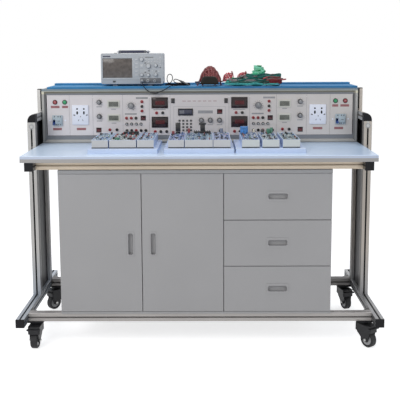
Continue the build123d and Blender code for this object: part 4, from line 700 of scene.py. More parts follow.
probe_points = [Vector(p) for p in PROBE] + oval(0.17, 1.1977, 23) + [Vector(p) for p in CURL]
probe_points += oval(1.82, 1.2052, 11) + [Vector(p) for p in TIP]
probe = cord_line("probe_lead_line", probe_points, PROBE_CORD, "cable")
grip = Piece("probe_grip", "black")
grip.lathe([(0, -2), (2.6, -2), (3.6, 6), (5, 10), (5, 20),
            (6.2, 22), (6.2, 26), (4.8, 29), (4.4, 50), (2.6, 58),
            (1.2, 60), (1.2, 66), (0, 66)],
           facing(probe_points[-1], (probe_points[-1] - probe_points[-2]).normalized()), 20)
clip = Piece("probe_ground_clip", "black")
clip.box((-0.246, 0.0875, 1.16), (-0.205, 0.0935, 1.1665), 0.0024)
clip.box((-0.236, 0.0865, 1.1575), (-0.214, 0.093, 1.1605), 0.0014)
PROBE[0]
grip.done()
clip.done()
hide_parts("probe_lead", "probe_coil")

# Heaps as (distance from the middle, height), and the lanes in which leads cross them.
HEAP = ((0, 0.092), (0.014, 0.089), (0.027, 0.078), (0.038, 0.063), (0.048, 0.045), (0.055, 0.028),
        (0.06, 0.01), (0.064, 0.002))
HUMP = ((0, 0.056), (0.012, 0.053), (0.022, 0.044), (0.029, 0.03), (0.033, 0.012), (0.036, 0.002))
LUMP = ((0, 0.078), (0.012, 0.076), (0.022, 0.07), (0.029, 0.056), (0.03, 0.04), (0.032, 0.02),
        (0.036, 0.003))
HEAP_LANES = ((-0.04, -0.012, 0.016, 0.043, -0.026, 0.002, 0.03),
              (0.036, 0.008, -0.02, -0.046, 0.022, -0.006, -0.034))
SMALL_LANES = (-0.021, 0.001, 0.023, -0.001, 0.021, -0.011, 0.012)

# Red leads: a tall heap laid to and fro, two low heaps beside it, and two folded ends.
for i, (turn, scale) in enumerate((
        (80, 1.0), (62, 0.985), (100, 0.97), (118, 1.0), (38, 0.96), (92, 0.945), (142, 0.97), (72, 0.93),
        (108, 0.91), (10, 0.94), (86, 0.86))):
    points = drape((0.054, 0.205), HEAP, turn, HEAP_LANES[i % 2], scale, 1.3, 20 + i)
    lead("red_lead_%d" % i, points, "cable_wine" if i % 3 == 1 else "cable_red", "red")
for i, (x, turn, scale) in enumerate((
        (0.15, 70, 1.0), (0.152, 112, 0.95), (0.148, 30, 0.9), (0.226, 8, 1.0), (0.222, 62, 1.0),
        (0.225, 140, 0.96))):
    points = drape((x, 0.229), HUMP, turn, SMALL_LANES, scale, 0.8, 60 + i, 0.8)
    lead("red_tail_%d" % i, points, "cable_wine" if i % 3 == 2 else "cable_rose", "red")
for i, (sheath, *fold) in enumerate((
        ("cable_wine", 0.352, 0.417, 0.138, 0.008, 0.01, 0.4),
        ("cable_red", 0.34, 0.413, 0.147, 0.018, 0.009, 0.55))):
    lead("red_end_%d" % i, hank(*fold, 0.8, 70 + i, 0.0025), sheath, "red")

# Teal and green leads: a long bundle with a knotted lump on it; its dark green strands, in the bundle and on
# the lump, are painted shade.
for i, (sheath, *fold) in enumerate((
        ("cable_cyan", 0.128, 0.404, 0.136, 0.003, 0.014, 0.3),
        ("cable_teal", 0.134, 0.412, 0.15, 0.005, 0.015, 0.75),
        ("cable_green", 0.13, 0.398, 0.168, 0.0035, 0.017, -0.2),
        ("cable_cyan", 0.136, 0.414, 0.182, 0.006, 0.014, 0.45),
        ("cable_deep", 0.15, 0.404, 0.146, 0.016, 0.013, 0.75),
        ("cable_grey", 0.146, 0.412, 0.16, 0.019, 0.014, 0.2),
        ("cable_green", 0.166, 0.406, 0.172, 0.02, 0.014, 0.55),
        ("cable_teal", 0.19, 0.412, 0.154, 0.027, 0.011, 0.6),
        ("cable_grey", 0.206, 0.408, 0.168, 0.03, 0.012, 0.25),
        ("cable_teal", 0.236, 0.414, 0.162, 0.036, 0.011, 0.5))):
    lead("teal_lead_%d" % i, hank(*fold, 1.35, 80 + i, 0.0048), sheath, "black")
for i, (turn, scale) in enumerate(((15, 1.0), (75, 0.97), (130, 0.93))):
    points = drape((0.302, 0.205), LUMP, turn, SMALL_LANES, scale, 1.0, 100 + i, 0.95)
    lead("green_lead_%d" % i, points, "cable_deep" if i == 1 else "cable_green", "green")
for i, (r, low) in enumerate(((0.032, 0.034), (0.031, 0.047), (0.024, 0.062))):
    points = coil((0.302, 0.204), r, MAT_Z + low, 0.85, 110 + i)
    lead("green_lead_%d" % (i + 3), points, "cable_mint" if i else "cable_green", "green")
for i, (x, y, z, lean) in enumerate(((0.006, 0.14, 0.0045, -0.2), (0.008, 0.15, 0.0055, 0.15),
                                     (0.003, 0.146, 0.0125, 0.0))):
    banana_plug("spare_plug_%d" % i, Vector((x, y, MAT_Z + z)), Vector((-1, lean, 0)), "navy")

# Dark pouch in front of the red heap, built as rings from its foot up.
POUCH_X, POUCH_Y = (0.004, 0.098), (0.114, 0.152)
# Rings as (inset, height).
POUCH_RINGS = ((0.004, 0.0003), (0.0, 0.004), (0.002, 0.012), (0.007, 0.026), (0.012, 0.036),
               (0.017, 0.0405), (0.025, 0.042))
pouch_mesh = bpy.data.meshes.new("pouch")
bm = bmesh.new()
rings = []
for number, (inset, z) in enumerate(POUCH_RINGS):
    wide, deep = POUCH_X[1] - POUCH_X[0] - 2 * inset, POUCH_Y[1] - POUCH_Y[0] - 1.2 * inset
    ring = []
    for x, y in rounded(wide, deep, min(0.01, deep / 2.2), 5):
        wave = 0.0008 * math.sin(160 * x + 3 * number) + 0.0006 * math.sin(230 * y + 2 * number)
        ring.append(bm.verts.new((sum(POUCH_X) / 2 + x, sum(POUCH_Y) / 2 + y + wave, MAT_Z + z + 0.4 * wave)))
    rings.append(ring)
for low, high in zip(rings, rings[1:]):
    for i in range(len(low)):
        j = (i + 1) % len(low)
        bm.faces.new((low[i], low[j], high[j], high[i]))
bm.faces.new(list(reversed(rings[0])))
bm.faces.new(rings[-1])
bm.to_mesh(pouch_mesh)
bm.free()
pouch = new_object("pouch", pouch_mesh)
pouch_mesh.materials.append(M["pouch"])
pouch_mesh.shade_smooth()
soften = pouch.modifiers.new("soften", "SUBSURF")
soften.levels = soften.render_levels = 1
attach(pouch, "bench")
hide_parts("lead_bundles")

# ---------------------------------------------------------- worktop, frame
(wx0, wy0, wz0), (wx1, wy1, wz1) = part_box("worktop")
# The worktop's front edge is two strips: the upper in the laminate's edge colour, the lower painted darker
# grey as shade on the lower part of the edge.
for name, material, heights in (("light", "laminate_edge", (wz0 + 0.017, wz1 - 0.0015)),
                                ("dark", "edge_band", (wz0 + 0.001, wz0 + 0.0168))):
    band = ((wx0, wx1), heights, (wy0 - 0.0006, wy0 + 0.0004))
    Piece("worktop_edge_" + name, material).plates([band], 0.0004).done()

# ------------------------------------------------------------ panel prints
PRINT = (FACE - 0.00025, FACE + 0.0002)        # front and back of what is printed on the panels
METER_X = (LCD_L + 0.03, LCD_R - 0.035)
KNOBS = ["knob_" + place for place in ("left_upper", "left_lower", "right_upper", "right_lower",
                                       "coarse", "fine", "level")]
SELECTORS = ["knob_selector_left", "knob_selector_right"]


def print_on(name, material, bars):
    """Bars printed on the panels, each given as x, z, width and height."""
    Piece(name, material).plates([around(*bar, PRINT) for bar in bars], 0.0001, 1).done()


LABEL_H, LABEL_Z = 0.012, 0.9815
labels = [(POWER_L - 0.015, 1.094, 0.044, LABEL_H), (POWER_L + 0.035, 1.094, 0.03, LABEL_H),
          (POWER_R - 0.031, 1.096, 0.03, LABEL_H), (POWER_R + 0.017, 1.096, 0.044, LABEL_H)]
labels += [(x, LABEL_Z, wide, LABEL_H) for x, wide in ((POWER_L - 0.0065, 0.045), (POWER_R - 0.0115, 0.045),
                                                       (OUTLET_L - 0.0005, 0.047), (OUTLET_R - 0.002, 0.048))]
print_on("panel_labels", "print_red", labels)

rules = []
for middle in (SELECT_L, SELECT_R):
    rules += [(middle + 0.03, 1.1375, 0.06, 0.009), (middle - 0.027, 1.057, 0.06, 0.007)]
rules += [(middle - 0.001, 1.0785, 0.062, 0.004) for middle in (LED_L, LED_R)]
rules += [(x, z, 0.024, 0.0036) for x in METER_X for z in (1.0815, 1.0105)]
for x, z in map(middle_of, KNOBS):
    rules.append((x, z - 0.023, 0.028, 0.004))
rules.append((GENERATOR + 0.0295, 1.066, 0.075, 0.015))
LINE, BORDER_W, (border_z0, border_z1) = 0.0009, 0.262, (0.957, 1.094)
rules += [(GENERATOR, z, BORDER_W, LINE) for z in (border_z0 + LINE / 2, border_z1 - LINE / 2)]
rules += [(GENERATOR + side * (BORDER_W - LINE) / 2, (border_z0 + border_z1) / 2, LINE, border_z1 - border_z0)
          for side in (-1, 1)]
print_on("panel_rules", "print_grey", rules)
print_on("title_bars", "print_red", [(GENERATOR + 0.026 * i, 1.12125, 0.017, 0.0025) for i in range(-3, 4)])

ticks = Piece("selector_ticks", "print_dark")
for nodes, count, sweep, reach, half in ((SELECTORS, 12, 150, 0.0225, Vector((0.0006, 0.0002, 0.0025))),
                                         (KNOBS, 7, 135, 0.0165, Vector((0.0005, 0.0002, 0.0016)))):
    for x, z in map(middle_of, nodes):
        for i in range(count):
            turn = Matrix.Rotation(math.radians(-sweep + 2 * sweep * i / (count - 1)), 4, "Y")
            place = Vector((x, PRINT[0] + 0.0001, z)) + turn @ Vector((0, 0, reach))
            ticks.box(place - half, place + half, 0.0001, 1, turn)
ticks.done()


# --------------------------------------------------------- panel equipment
def digit(piece, x, z, front, w, h, bar=0.0013):
    """Seven-segment figure; w and h are its half sizes."""
    depth = (front - 0.0003, front)
    flat = [around(x, z + level * h, 2 * w - 1.2 * bar, bar, depth) for level in (1, 0, -1)]
    upright = [around(x + side * w, z + level * h, bar, h - 1.2 * bar, depth)
               for side in (-1, 1) for level in (-0.5, 0.5)]
    piece.plates(flat + upright, 0.0001, 1)


front = FACE - 0.003
figures = Piece("lcd_figures", "lcd_digit")
windows = Piece("lcd_windows", "lcd_glass")
for x in METER_X:
    for z in (1.107, 1.037):
        windows.plates([around(x, z, 0.0516, 0.03, (front - 0.0006, front))])
        for i in range(4):
            digit(figures, x - 0.018 + 0.012 * i, z, front - 0.0006, 0.0036, 0.0085)
windows.done()
figures.done()

front = FACE - 0.004
windows = Piece("led_windows", "led_glass")
cells = Piece("led_cells", "led_cell")
figures = Piece("led_figures", "led_digit")
for x, z in ((LED_L, 1.113), (LED_L, 1.015), (LED_R, 1.113), (LED_R, 1.017)):
    windows.plates([around(x, z, 0.073, 0.046, (front - 0.0006, front))])
    cells.plates([around(x + 0.00125, z, 0.0475, 0.021, (front - 0.0009, front - 0.0005))], 0.0002)
    for i in range(4):
        digit(figures, x - 0.016 + 0.0115 * i, z, front - 0.0009, 0.0036, 0.0075)
windows.done()
cells.done()
figures.done()

x, z = GENERATOR - 0.071, 1.066
depth = (front - 0.0004, front + 0.0038)
surround = [around(x, z + side * 0.01455, 0.0746, 0.0055, depth) for side in (-1, 1)]
surround += [around(x + side * 0.03455, z, 0.0055, 0.0236, depth) for side in (-1, 1)]
Piece("generator_display_frame", "dark_bezel").plates(surround).done()
glass = around(x, z, 0.064, 0.024, (front + 0.0004, front + 0.001))
Piece("generator_display", "violet_glass").plates([glass], 0.0002).done()
depth = (front + 0.0002, front + 0.0005)
cells = [around(x - 0.0285 + 0.004 * col, z + 0.0045 - 0.0085 * row, 0.0028, 0.0052, depth)
         for row in range(2) for col in range(6)]
Piece("generator_display_cells", "print_grey").plates(cells, 0.0001, 1).done()

covers = Piece("outlet_faces", "white")
holes = Piece("outlet_slots", "slot_dark")
pins = Piece("outlet_pins", "print_dark")
front = FACE - 0.0078
for x, z in ((OUTLET_L - 0.004, 1.054), (OUTLET_R - 0.003, 1.053)):
    covers.plates([around(x, z + 0.00025, 0.078, 0.0935, (front, front + 0.0012))], 0.0006)
    x += 0.002
    for group, dx, dz, wide, high, turn in ((holes, 0.017, 0.03, 0.0086, 0.0086, 0),
                                            (holes, 0.017, 0.0105, 0.0082, 0.0158, 0),
                                            (pins, 0.0315, -0.001, 0.0095, 0.0056, 20),
                                            (pins, 0.0105, -0.027, 0.0028, 0.0085, 30)):
        for side in (-1, 1):
            place = out(x + side * dx, front, z + dz) @ Matrix.Rotation(math.radians(side * turn), 4, "Z")
            group.prism(rounded(wide, high, 0.45 * min(wide, high)), place, 0.0003)
    pins.prism(rounded(0.0036, 0.006, 0.0014), out(x, front, z - 0.0085), 0.0003)
for piece in (covers, holes, pins):
    piece.done()

COVER, NOSE = 0.0093, 0.0133                   # how far a breaker's cover and its middle stand out
covers = Piece("breaker_covers", "breaker")
marks = Piece("breaker_marks", "print_dark")
for x, z in ((POWER_L - 0.004, 1.026), (POWER_R - 0.004, 1.028)):
    for stand, a, b, c, d in ((COVER, -10.2, 25.3, -25.8, 25.8), (COVER, -25.3, -10.2, 4.3, 25.8),
                              (COVER, -25.3, -10.2, -25.8, -22.3), (COVER, -25.3, -23.8, -22.3, 4.3),
                              (NOSE, -10.2, 22.3, -15.3, 13.3), (NOSE, -22.3, -10.2, 4.3, 13.3)):
        a, b, c, d = (value / 1000 for value in (a, b, c, d))
        covers.plates([((x + a, x + b), (z + c, z + d), (FACE - stand, FACE))], 0.0006)
    for dx in (-0.014, 0.004, 0.016):
        for r, cx, cz in ((3.2, x + dx, z + 0.0195), (2.8, x + max(dx, -0.004), z - 0.0205)):
            marks.lathe([(0, 0), (r, 0), (r, 0.4), (1.2, 0.4), (1.2, 0.1), (0, 0.1)],
                        out(cx, FACE - COVER, cz), 18)
    marks.plates([around(x + 0.008, z - 0.0025, 0.012, 0.003, (FACE - 0.0136, FACE - 0.0132))], 0.0001, 1)
covers.done()
marks.done()

reds = [(LCD_L + 0.009, 0.977), (LCD_R - 0.045, 0.977)]
blacks = [(LCD_L + 0.045, 0.977), (LCD_R - 0.011, 0.977)]
ringed = []
BORE = 2.06                                    # radius of a socket's hole, in millimetres
for x in (SELECT_L, SELECT_R):
    reds += [(x + 0.03, 1.119), (x + 0.03, 1.072), (x - 0.049, 1.036), (x - 0.025, 1.036)]
    reds.append((x - 0.001, 0.973))
    blacks += [(x + 0.03, 1.095), (x - 0.001, 1.036)]
    blacks += [(x - 0.048 + 0.024 * i, 0.973) for i in (0, 1, 3, 4)]
    ringed += [(x - 0.048 + 0.024 * i, 1.006) for i in range(4)]
for x in (LED_L, LED_R):
    reds += [(x - 0.016, 1.062), (x - 0.024, 0.967)]
    blacks += [(x + 0.015, 1.062), (x + 0.004, 0.967), (x + 0.034, 0.967)]
for name, spots, color, bush, rim in (("red", reds, "red", "slot_dark", 2.6),
                                      ("black", blacks, "black", "slot_dark", 2.6),
                                      ("ringed", ringed, "black", "white_print", 4.2)):
    collars = Piece("socket_collars_" + name, color)
    bushes = Piece("socket_bushes_" + name, bush)
    for x, z in spots:
        collars.lathe([(5.8, 0.2), (7.6, 0.2), (7.6, 1.6), (7, 2.2),
                       (5.8, 2.4), (5.8, 0.2)], out(x, FACE, z), 24)
        bushes.lathe([(BORE, 0), (rim, 0), (rim, 0.4), (2.4, 0.6), (BORE, 0.2), (BORE, 0)],
                     out(x, FACE - 0.011, z), 20)
    collars.done()
    bushes.done()

depth = (FACE - 0.0024, FACE - 0.0014)
caps = [around(GENERATOR - 0.102 + 0.0195 * col, 1.022 - 0.0163 * row, 0.008, 0.0072, depth)
        for row in range(4) for col in range(4)]
Piece("keypad_caps", "key_cap").plates(caps, 0.0008).done()
switches = [around(GENERATOR + side * 0.134, 1.123, 0.0116, 0.018, (FACE - 0.0052, FACE - 0.0033))
            for side in (-1, 1)]
Piece("generator_switch_faces", "black").plates(switches, 0.0008).done()
dial = [(0, 13.6), (5.8, 13.6), (6.4, 13.1), (6.4, 12.8), (0, 12.8)]
Piece("generator_trim_cap", "knob_grey").lathe(dial, out(GENERATOR + 0.108, FACE, 0.97)).done()

for node in KNOBS + SELECTORS:
    x, z = middle_of(node)
    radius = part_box(node)[1][0] - x
    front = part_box(node)[0][1] + 0.001
    disc = [(0, 0.5), (560 * radius, 0.5), (620 * radius, 0), (0, 0)]
    Piece(node + "_cap", "knob_cap", node).lathe(disc, out(x, front, z)).done()
    heights = (z + radius * 0.05, z + radius * 0.72)
    line = ((x - 0.001, x + 0.001), heights, (front - 0.0013, front + 0.0002))
    Piece(node + "_mark", "pointer", node).plates([line]).done()

for node in ("button_red_left", "button_green_left", "button_green_right", "button_red_right"):
    x, z = middle_of(node)
    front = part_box(node)[0][1]
    cap = [(0, 0.8), (3.5, 0.6), (6.2, 0), (0, 0)]
    Piece(node + "_cap", node.split("_")[1], node).lathe(cap, out(x, front, z)).done()
    if "red" in node:
        ring = [(2.2, 0), (3, 0), (3, 0.3), (2.2, 0.3), (2.2, 0)]
        Piece(node + "_mark", "pointer", node).lathe(ring, out(x, front - 0.0008, z), 24).done()

for place in ("lcd_left", "lcd_right", "select_left", "select_right", "generator"):
    node = "rocker_" + place
    x, z = middle_of(node)
    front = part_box(node)[0][1]
    line = around(x - 0.004, z + 0.00398, 0.0006, 0.003, (front + 0.0001, front + 0.0012))
    Piece(node + "_mark", "pointer", node).plates([line], 0.0001, 1).done()

# ---------------------------------------------------------- recessed pulls
DOOR_MOUTH, DRAWER_MOUTH = (0.018, 0.096), (0.084, 0.022)
FROM_EDGE = 0.0505                             # a door's pull, from the edge where the doors meet
for node, side in (("door_left", 1), ("door_right", -1), ("drawer_1", 0), ("drawer_2", 0), ("drawer_3", 0)):
    x, z = middle_of(node)
    x += side * (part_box(node)[1][0] - x - FROM_EDGE)
    z += -0.0025 if side else 0.002
    wide, high = DOOR_MOUTH if side else DRAWER_MOUTH
    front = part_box(node)[0][1]
    depth = (front - 0.0006, front + 0.0002)
    rim = []
    for way in (-1, 1):
        rim.append(around(x + way * (wide / 2 + 0.0012), z, 0.0022, high - 0.004, depth))
        rim.append(around(x, z + way * (high / 2 + 0.0012), wide - 0.004, 0.0022, depth))
    Piece(node + "_pull_rim", "pull_rim", node).plates(rim, 0.0004).done()

# ------------------------------------------------------------- oscilloscope
SX, _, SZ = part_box("scope_front")[0]
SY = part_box("scope_case")[0][1] - 0.01         # plane of the scope's face
INPUT_Z = SZ + 0.017


def on_scope(*spans):
    """Plates as (x0, x1, z0, z1, front, back), in millimetres from the face's lower left corner."""
    scaled = [[number / 1000 for number in span] for span in spans]
    return [((SX + x0, SX + x1), (SZ + z0, SZ + z1), (SY + front, SY + back))
            for x0, x1, z0, z1, front, back in scaled]


for name, material, bevel, spans in (
        ("screen", "scope_glass", 0.0003, [(11.2, 159.8, 33.2, 129.8, 0.3, 1.2)]),
        ("screen_lips", "scope_key", 0.0005,
         [(9, 165, 27, 30.5, -0.8, 0.4), (162.5, 166.5, 31, 132, -0.8, 0.4)]),
        ("screen_shade", "scope_dark", 0.0003,
         [(9.5, 161.5, 130.2, 131.8, -0.3, 1), (60, 75, 9, 18, -0.3, 0.3),
          (9.3, 11.2, 31.5, 131.5, -0.3, 1)]),
        ("badge", "navy", 0.0003, [(11, 50, 138.5, 144.5, -0.5, 0.3)]),
        ("input_band", "scope_band", 0.0004,
         [(225, 308, 4, 30.5, -0.4, 0.3), (201, 224.5, 4, 30.5, -0.4, 0.3)]),
        ("power_key", "scope_dark", 0.001, [(66, 82, 156.5, 159.5, 16, 28)])):
    Piece("scope_" + name, material).plates(on_scope(*spans), bevel).done()
grooves = Piece("scope_grooves", "scope_line")
grooves.plates(on_scope((196.2, 197.2, 36, 142, -0.2, 0.2), (10, 200, 21.2, 22.2, -0.2, 0.2),
                        (200, 216, 79.5, 80.3, -0.2, 0.2)), 0.0001, 1)
grooves.plates(on_scope((228, 270, 134, 139, -0.2, 0.2)), 0.0002, 1)
grooves.done()
vents = [(x, x + 11, z, z + 4, 127.8, 128.3) for x in [50 + 16.5 * col for col in range(14)]
         for z in range(45, 120, 15)]
Piece("scope_vents", "slot_dark").plates(on_scope(*vents), 0.0002, 1).done()

keys = Piece("scope_keys", "scope_key")
small = [(x, x + 9.5, z, z + 5.2, -2, 0) for x in range(227, 302, 15) for z in (123.5, 112.5)]
small += [(300.5, 310.5, 133 - 9.5 * i, 138.5 - 9.5 * i, -2, 0) for i in range(5)]
small += [(294, 305, 60, 66.5, -2, 0), (224, 233, 65.5, 70.5, -2, 0), (260, 269, 65.5, 70.5, -2, 0)]
keys.plates(on_scope(*small), 0.0009)
keys.plates(on_scope((203.5, 216.5, 88, 101, -2, 0)), 0.0012)
keys.done()
dark = [(x, x + 7.5, z, z + 5, -1.8, 0)
        for x, z in ((224, 57), (243, 66), (280, 64), (224, 105), (301.5, 82))]
Piece("scope_keys_dark", "scope_band").plates(on_scope(*dark), 0.0009).done()
for i in range(5):
    cap = on_scope((176.5, 189.5, 42.6 + 20 * i, 48.4 + 20 * i, -2.4, -1.8))
    Piece("scope_soft_key_%d" % i, "scope_key").plates(cap, 0.0002).done()

skirts = Piece("scope_knob_skirts", "scope_band")
caps = Piece("scope_knob_caps", "scope_key")
for x, z, r in ((210, 126, 9), (244, 92, 11), (282, 95, 8), (210, 47, 8), (243, 46, 8), (281, 48, 8)):
    place = out(SX + x / 1000, SY, SZ + z / 1000)
    skirts.lathe([(r + 0.2, 0), (r + 1.6, 0), (r + 1.3, 3), (r + 0.2, 3.4), (r + 0.2, 0)], place, 24)
    caps.lathe([(0, 12.6), (r * 0.72, 12.6), (r * 0.8, 11.9), (0, 11.9)], place, 24)
skirts.done()
caps.done()
rings = Piece("scope_input_rings", "zinc")
for x in (0.24, 0.275):
    place = out(SX + x, SY, INPUT_Z)
    rings.lathe([(4.4, 11.8), (6.1, 11.8), (6.3, 11.2), (6.3, 1), (7.5, 1),
                 (7.5, 0.2), (6.2, 0.2), (6.2, 11.8)], place, 24)
    rings.lathe([(0, 9.5), (1, 9.5), (1, 3), (0, 3)], place, 12)
rings.done()
boot = Piece("probe_plug_grip", "black")
for i in range(5):
    boot.lathe([(6.8, 0), (7.4, 0.4), (7.4, 1.4), (6.8, 1.8), (6.8, 0)],
               out(SX + 0.213, SY - 0.0145 - 0.0035 * i, INPUT_Z), 24)
boot.done()
(hx0, hy0, hz0), (hx1, hy1, hz1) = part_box("scope_handle")
insert = ((hx0 + 0.009, hx1 - 0.012), (hz0 + 0.0008, hz1 - 0.0008), (hy0 - 0.0008, hy0 + 0.0004))
Piece("scope_handle_insert", "navy", "scope_handle").plates([insert], 0.0006).done()

# ------------------------------------------------- slots of the side frames
SLOT_X, ARM_X = 0.82, 0.8                      # middle of a post, inner face of an arm
# The black strips in the posts' slots and on the arms' slot floors are painted shade inside the slots; the
# arms' faces get a lighter aluminium skin, painted light against the shaded side faces.
slot_shade = Piece("slot_shade_strips", "slot_dark")
covers = Piece("post_cover_rims", "print_grey")
arms = Piece("arm_faces", "arm_face")
for side in (-1, 1):
    x = SLOT_X * side
    for y, *heights in ((-0.034, 0.165, 0.838), (-0.034, 0.913, 0.991), (0.207, 0.17, 1.02),
                        (0.207, 1.074, 1.172)):
        slot_shade.plates([((x - 0.0039, x + 0.0039), heights, (y + 0.0003, y + 0.003))], 0.0002, 1)
    covers.lathe([(7.8, 0), (7.8, 0.4), (11.2, 0.4), (11.2, 0)], out(x, -0.0357, 1.009), 32)
    skin = sorted(side * (ARM_X + lift) for lift in (0.0001, -0.0004))
    for heights in ((1.0312, 1.0456), (1.0544, 1.069)):
        arms.plates([(skin, heights, (0.0075, 0.205))], 0.0001, 1)
    floor_of_slot = sorted(side * (ARM_X + sunk) for sunk in (0.003, 0.0003))
    slot_shade.plates([(floor_of_slot, (1.0461, 1.0539), (0.0075, 0.205))], 0.0002, 1)
slot_shade.done()
covers.done()
arms.done()

# ---------------------------------------------------------- circuit modules
# Ends of each tray's modules, in millimetres, and the tints of their boards.
MODULES = (((-494, -418), (-413, -289), (-285, -207)), ((-142, -68), (-65, 64), (66, 146)),
           ((197, 279), (291, 370), (385, 465)))
TINTS = (((0.29, 0.45, 0.62), (0.24, 0.3, 0.32), (0.24, 0.36, 0.54)),
         ((0.15, 0.21, 0.48), (0.12, 0.23, 0.35), (0.16, 0.215, 0.43)),
         ((0.12, 0.19, 0.33), (0.22, 0.3, 0.37), (0.165, 0.27, 0.31)))
BOARD_Z, BOARD_Y0, BOARD_Y1, FRONT_Y = 0.967, -0.2565, 0.0445, -0.2588
TOP = BOARD_Z + 0.0003                         # what stands on a board starts here
rng = random.Random(7)


class Tray:
    """Everything small on one tray, in one piece per finish."""

    def __init__(self, number):
        self.body = "module_tray_%d" % number
        self.pieces = {}

    def __getitem__(self, key):
        if key not in self.pieces:
            self.pieces[key] = Piece(self.body + "_" + key, key, self.body)
        return self.pieces[key]

    def block(self, key, x0, x1, y0, y1, z0, z1, bevel=1.2, segments=2):
        """Box on the board, in millimetres."""
        low, high = (Vector(corner) / 1000 for corner in ((x0, y0, z0), (x1, y1, z1)))
        rise = Vector((0, 0, TOP))
        self[key].box(low + rise, high + rise, bevel / 1000, segments)

    def turned(self, key, x, y, steps, *profile):
        """Round part that stands on the board."""
        self[key].lathe(profile, Matrix.Translation((x, y, TOP)), steps)

    def slab(self, key, x, y, wide, deep, low, high, bevel=0.1):
        """Box about (x, y), from low to high over the board, in millimetres but for x and y."""
        half = Vector((wide, deep, 0)) / 2000
        middle = Vector((x, y, TOP))
        self[key].box(middle - half + Vector((0, 0, low / 1000)), middle + half + Vector((0, 0, high / 1000)),
                      bevel / 1000, 1)

    def component(self, kind, x, y):
        if kind in ("post", "redpost"):
            key = "red" if kind == "redpost" else "comp_red" if rng.random() < 0.2 else "black"
            self.turned(key, x, y, 14, (0, 6.5), (2.2, 6.5), (3.2, 5.8), (3.4, 1), (4.2, 0))
            self.turned("zinc", x, y, 10, (0, 7.2), (1.6, 7.2), (1.6, 6), (0, 6))
        elif kind == "ic":
            self.slab("chip", x, y, 17, 6.6, 1, 4.8, 0.4)
            for leg in [x - 0.0068 + 0.0027 * i for i in range(6)]:
                for row in (y - 0.0042, y + 0.0042):
                    self.slab("zinc", leg, row, 0.8, 0.6, -0.3, 2.4)
        elif kind == "resistor":
            along = Matrix.Translation((x - 0.0035, y, TOP + 0.0018)) @ Matrix.Rotation(math.pi / 2, 4, "Y")
            body = [(0, 0), (1.3, 0.3), (1.1, 1.5), (1.1, 5.5), (1.3, 6.7), (0, 7)]
            self["cream"].lathe(body, along, 12)
            self["zinc"].lathe([(0.3, -3), (0.3, 10), (0, 10)], along, 6)
        elif kind == "cap":
            self.turned(rng.choice(("comp_blue", "chip")), x, y, 16, (0, 10.5), (3.2, 10.5),
                        (3.6, 10), (3.6, 0), (0, 0))
        elif kind == "pot":
            self.slab("comp_blue", x, y, 9, 9, 0, 7, 0.5)
            self.turned("cream", x, y, 12, (0, 8), (2.2, 8), (2.2, 6.8), (0, 6.8))
        elif kind == "led":
            self.turned(rng.choice(("comp_red", "comp_green")), x, y, 14, (0, 7.5), (1.8, 6.8),
                        (2.5, 5.2), (2.5, 0.6), (3, 0.6), (3, 0))

    def populate(self, x0, x1, crowded):
        """Rows of pins and components between a board's sides."""
        wide = x1 - x0
        cols = 3 if wide < 0.1 else 5
        for y in [BOARD_Y0 + 0.018 + 0.033 * row for row in range(9)]:
            self["white_print"].box((x0 + 0.004, y + 0.0145, BOARD_Z),
                                    (x1 - 0.004, y + 0.0153, BOARD_Z + 0.0007), 0.0001, 1)
            for x in [x0 + 0.0075 * (pin + 1) for pin in range(int(wide / 0.0075) - 1)]:
                if rng.random() < 0.6:
                    key = "chip" if rng.random() < 0.6 else "white_print"
                    self.slab(key, x, y - 0.01075, 3.2, 3.5, -0.3, 2.7, 0.3)
            for col in range(cols):
                x = x0 + wide / cols * (col + 0.5) + rng.uniform(-0.002, 0.002)
                kind = rng.choice(("post", "ic", "resistor", "resistor", "cap", "pot", "led",
                                   "blank", "blank"))
                if crowded:
                    kind = rng.choice(("redpost", "redpost", "ic", "resistor", "cap", "blank"))
                self.component(kind, x, y)
        for y in (BOARD_Y0 + 0.005, BOARD_Y1 - 0.005):
            for x in (x0 + 0.005, x1 - 0.005):
                self.turned("zinc", x, y, 14, (0, 1.6), (1.8, 1.4), (2.7, 0.6), (2.7, 0))


trays = [Tray(number) for number in (1, 2, 3)]
for tray, modules, tints in zip(trays, MODULES, TINTS):
    fronts = Piece(tray.body + "_fronts", "module", tray.body)
    for number, (left, right) in enumerate(modules):
        left, right = left / 1000, right / 1000
        key = "board_%d%d" % (trays.index(tray), number)
        M[key] = finish(key, tints[number], 0.18, 0.35, 0.08, 0, 200, 0.00005, 0.2, 30, coat=0.3)
        band = ((left + 0.0006, right - 0.0006), (0.935, 0.968), (FRONT_Y - 0.0006, FRONT_Y))
        fronts.plates([band], 0.0002, 1)
        # A dark strip at the foot of each module front is painted shadow where the module meets the tray.
        foot = ((left + 0.0003, right - 0.0003), (0.9312, 0.935), (FRONT_Y - 0.0008, FRONT_Y))
        tray["slot_dark"].plates([foot], 0.0002, 1)
        x0, x1 = left + 0.0026, right - 0.0026
        skin = ((x0, x1), (BOARD_Z - 0.0002, BOARD_Z + 0.0004), (BOARD_Y0, BOARD_Y1))
        Piece("%s_board_%d" % (tray.body, number), key, tray.body).plates([skin], 0.0001, 1).done()
        tray.populate(x0, x1, crowded=key == "board_01")
    fronts.done()

tray = trays[0]
tray.block("comp_green", -388, -368, -238, -205, 0, 8.5, 1.0)
tray.block("chip", -332, -312, -226, -196, 0, 8.0, 0.8)
tray.block("black", -372, -300, 4, 12, 0, 13, 1.0)
tray.block("black", -352, -336, -6, 18, 0, 6, 1.0)

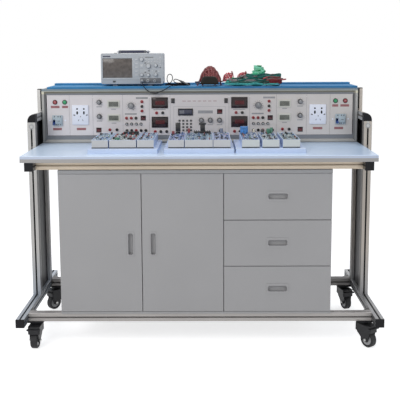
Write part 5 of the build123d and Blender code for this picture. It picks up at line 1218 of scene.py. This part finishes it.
# Second tray: a regulator on its heat sink, a tall connector on its terminal strip, and a coil.
tray = trays[1]
tray.block("black", -118, -94, 12, 34, 0, 54, 1.6)
tray.block("zinc", -117.5, -94.5, 11.5, 12, 10, 10.8, 0.1, 1)
tray.block("comp_red", -136, -122, 0, 12, 0, 14)
tray.block("comp_red", -58, -46, 4, 16, 0, 26)
tray.block("black", 4, 28, 18, 30, 0, 48)
tray.block("black", -2, 34, 16, 32, 44, 52)
tray.block("black", -28, 56, 14, 34, 0, 11)
for i in range(8):
    tray.block("black", 10.5 * i - 26.5, 10.5 * i - 22.5, 14.8, 33.2, 10.5, 15, 0.5)
tray.turned("light_blue", 0.108, 0.006, 22, (0, 26), (6.8, 26), (7.8, 24), (8.5, 2), (11, 0), (0, 0))

# Third tray: a tall blue drum, and smaller round and square parts.
tray = trays[2]
tray.turned("sky", 0.22, 0.008, 36, (0, 36), (17, 36), (19.5, 33.5), (19.5, 6), (17, 4), (17, 0), (0, 0))
tray.turned("light_blue", 0.22, 0.008, 30, (0, 36.8), (12, 36.8), (12, 35.5), (0, 35.5))
tray.turned("comp_green", 0.354, 0.006, 22, (0, 30), (6, 30), (7.2, 28), (7.2, 0), (0, 0))
tray.turned("black", 0.31, 0.006, 22, (0, 22), (6, 22), (7.2, 20), (7.2, 0), (0, 0))
tray.block("comp_green", 330, 346, -4, 14, 0, 24, 2.0)
tray.block("cream", 262, 272, 0, 10, 0, 22)
for tray in trays:
    for piece in tray.pieces.values():
        piece.done()

# ------------------------------------------------------------------ castors
STEM_X, FRONT_STEM_Y, REAR_STEM_Y, TRAIL, WHEEL_R = 0.767, -0.289, 0.245, 0.033, 0.038
HEXAGON = [(0.0066 * math.cos(math.radians(turn)), 0.0066 * math.sin(math.radians(turn)))
           for turn in range(0, 360, 60)]
for corner, x, y, swivel in (("front_left", -STEM_X, FRONT_STEM_Y, -2),
                             ("front_right", STEM_X, FRONT_STEM_Y, 36),
                             ("rear_left", -STEM_X, REAR_STEM_Y, -40),
                             ("rear_right", STEM_X, REAR_STEM_Y, 16)):
    stem = Matrix.Translation((x, y, 0)) @ Matrix.Rotation(math.radians(swivel), 4, "Z")
    axle = stem @ Matrix.Translation((0, -TRAIL, WHEEL_R))
    hub = Piece("hub_" + corner, "hub", "wheel_" + corner)
    nut = Piece("axle_nut_" + corner, "zinc", "fork_" + corner)
    for side in (-1, 1):
        place = axle @ Matrix.Rotation(side * math.pi / 2, 4, "Y")
        hub.lathe([(12.2, 12.6), (24, 12.6), (25.2, 13.1), (26.2, 12.6), (26.2, 11.8),
                   (12.2, 11.8)], place, 36)
        nut.prism(HEXAGON, place @ Matrix.Translation((0, 0, 0.0216)), 0.005, 0.0004)
        nut.lathe([(0, 29.5), (2.8, 29.5), (3.2, 29), (3.2, 24), (0, 24)], place, 16)
    hub.done()
    nut.done()
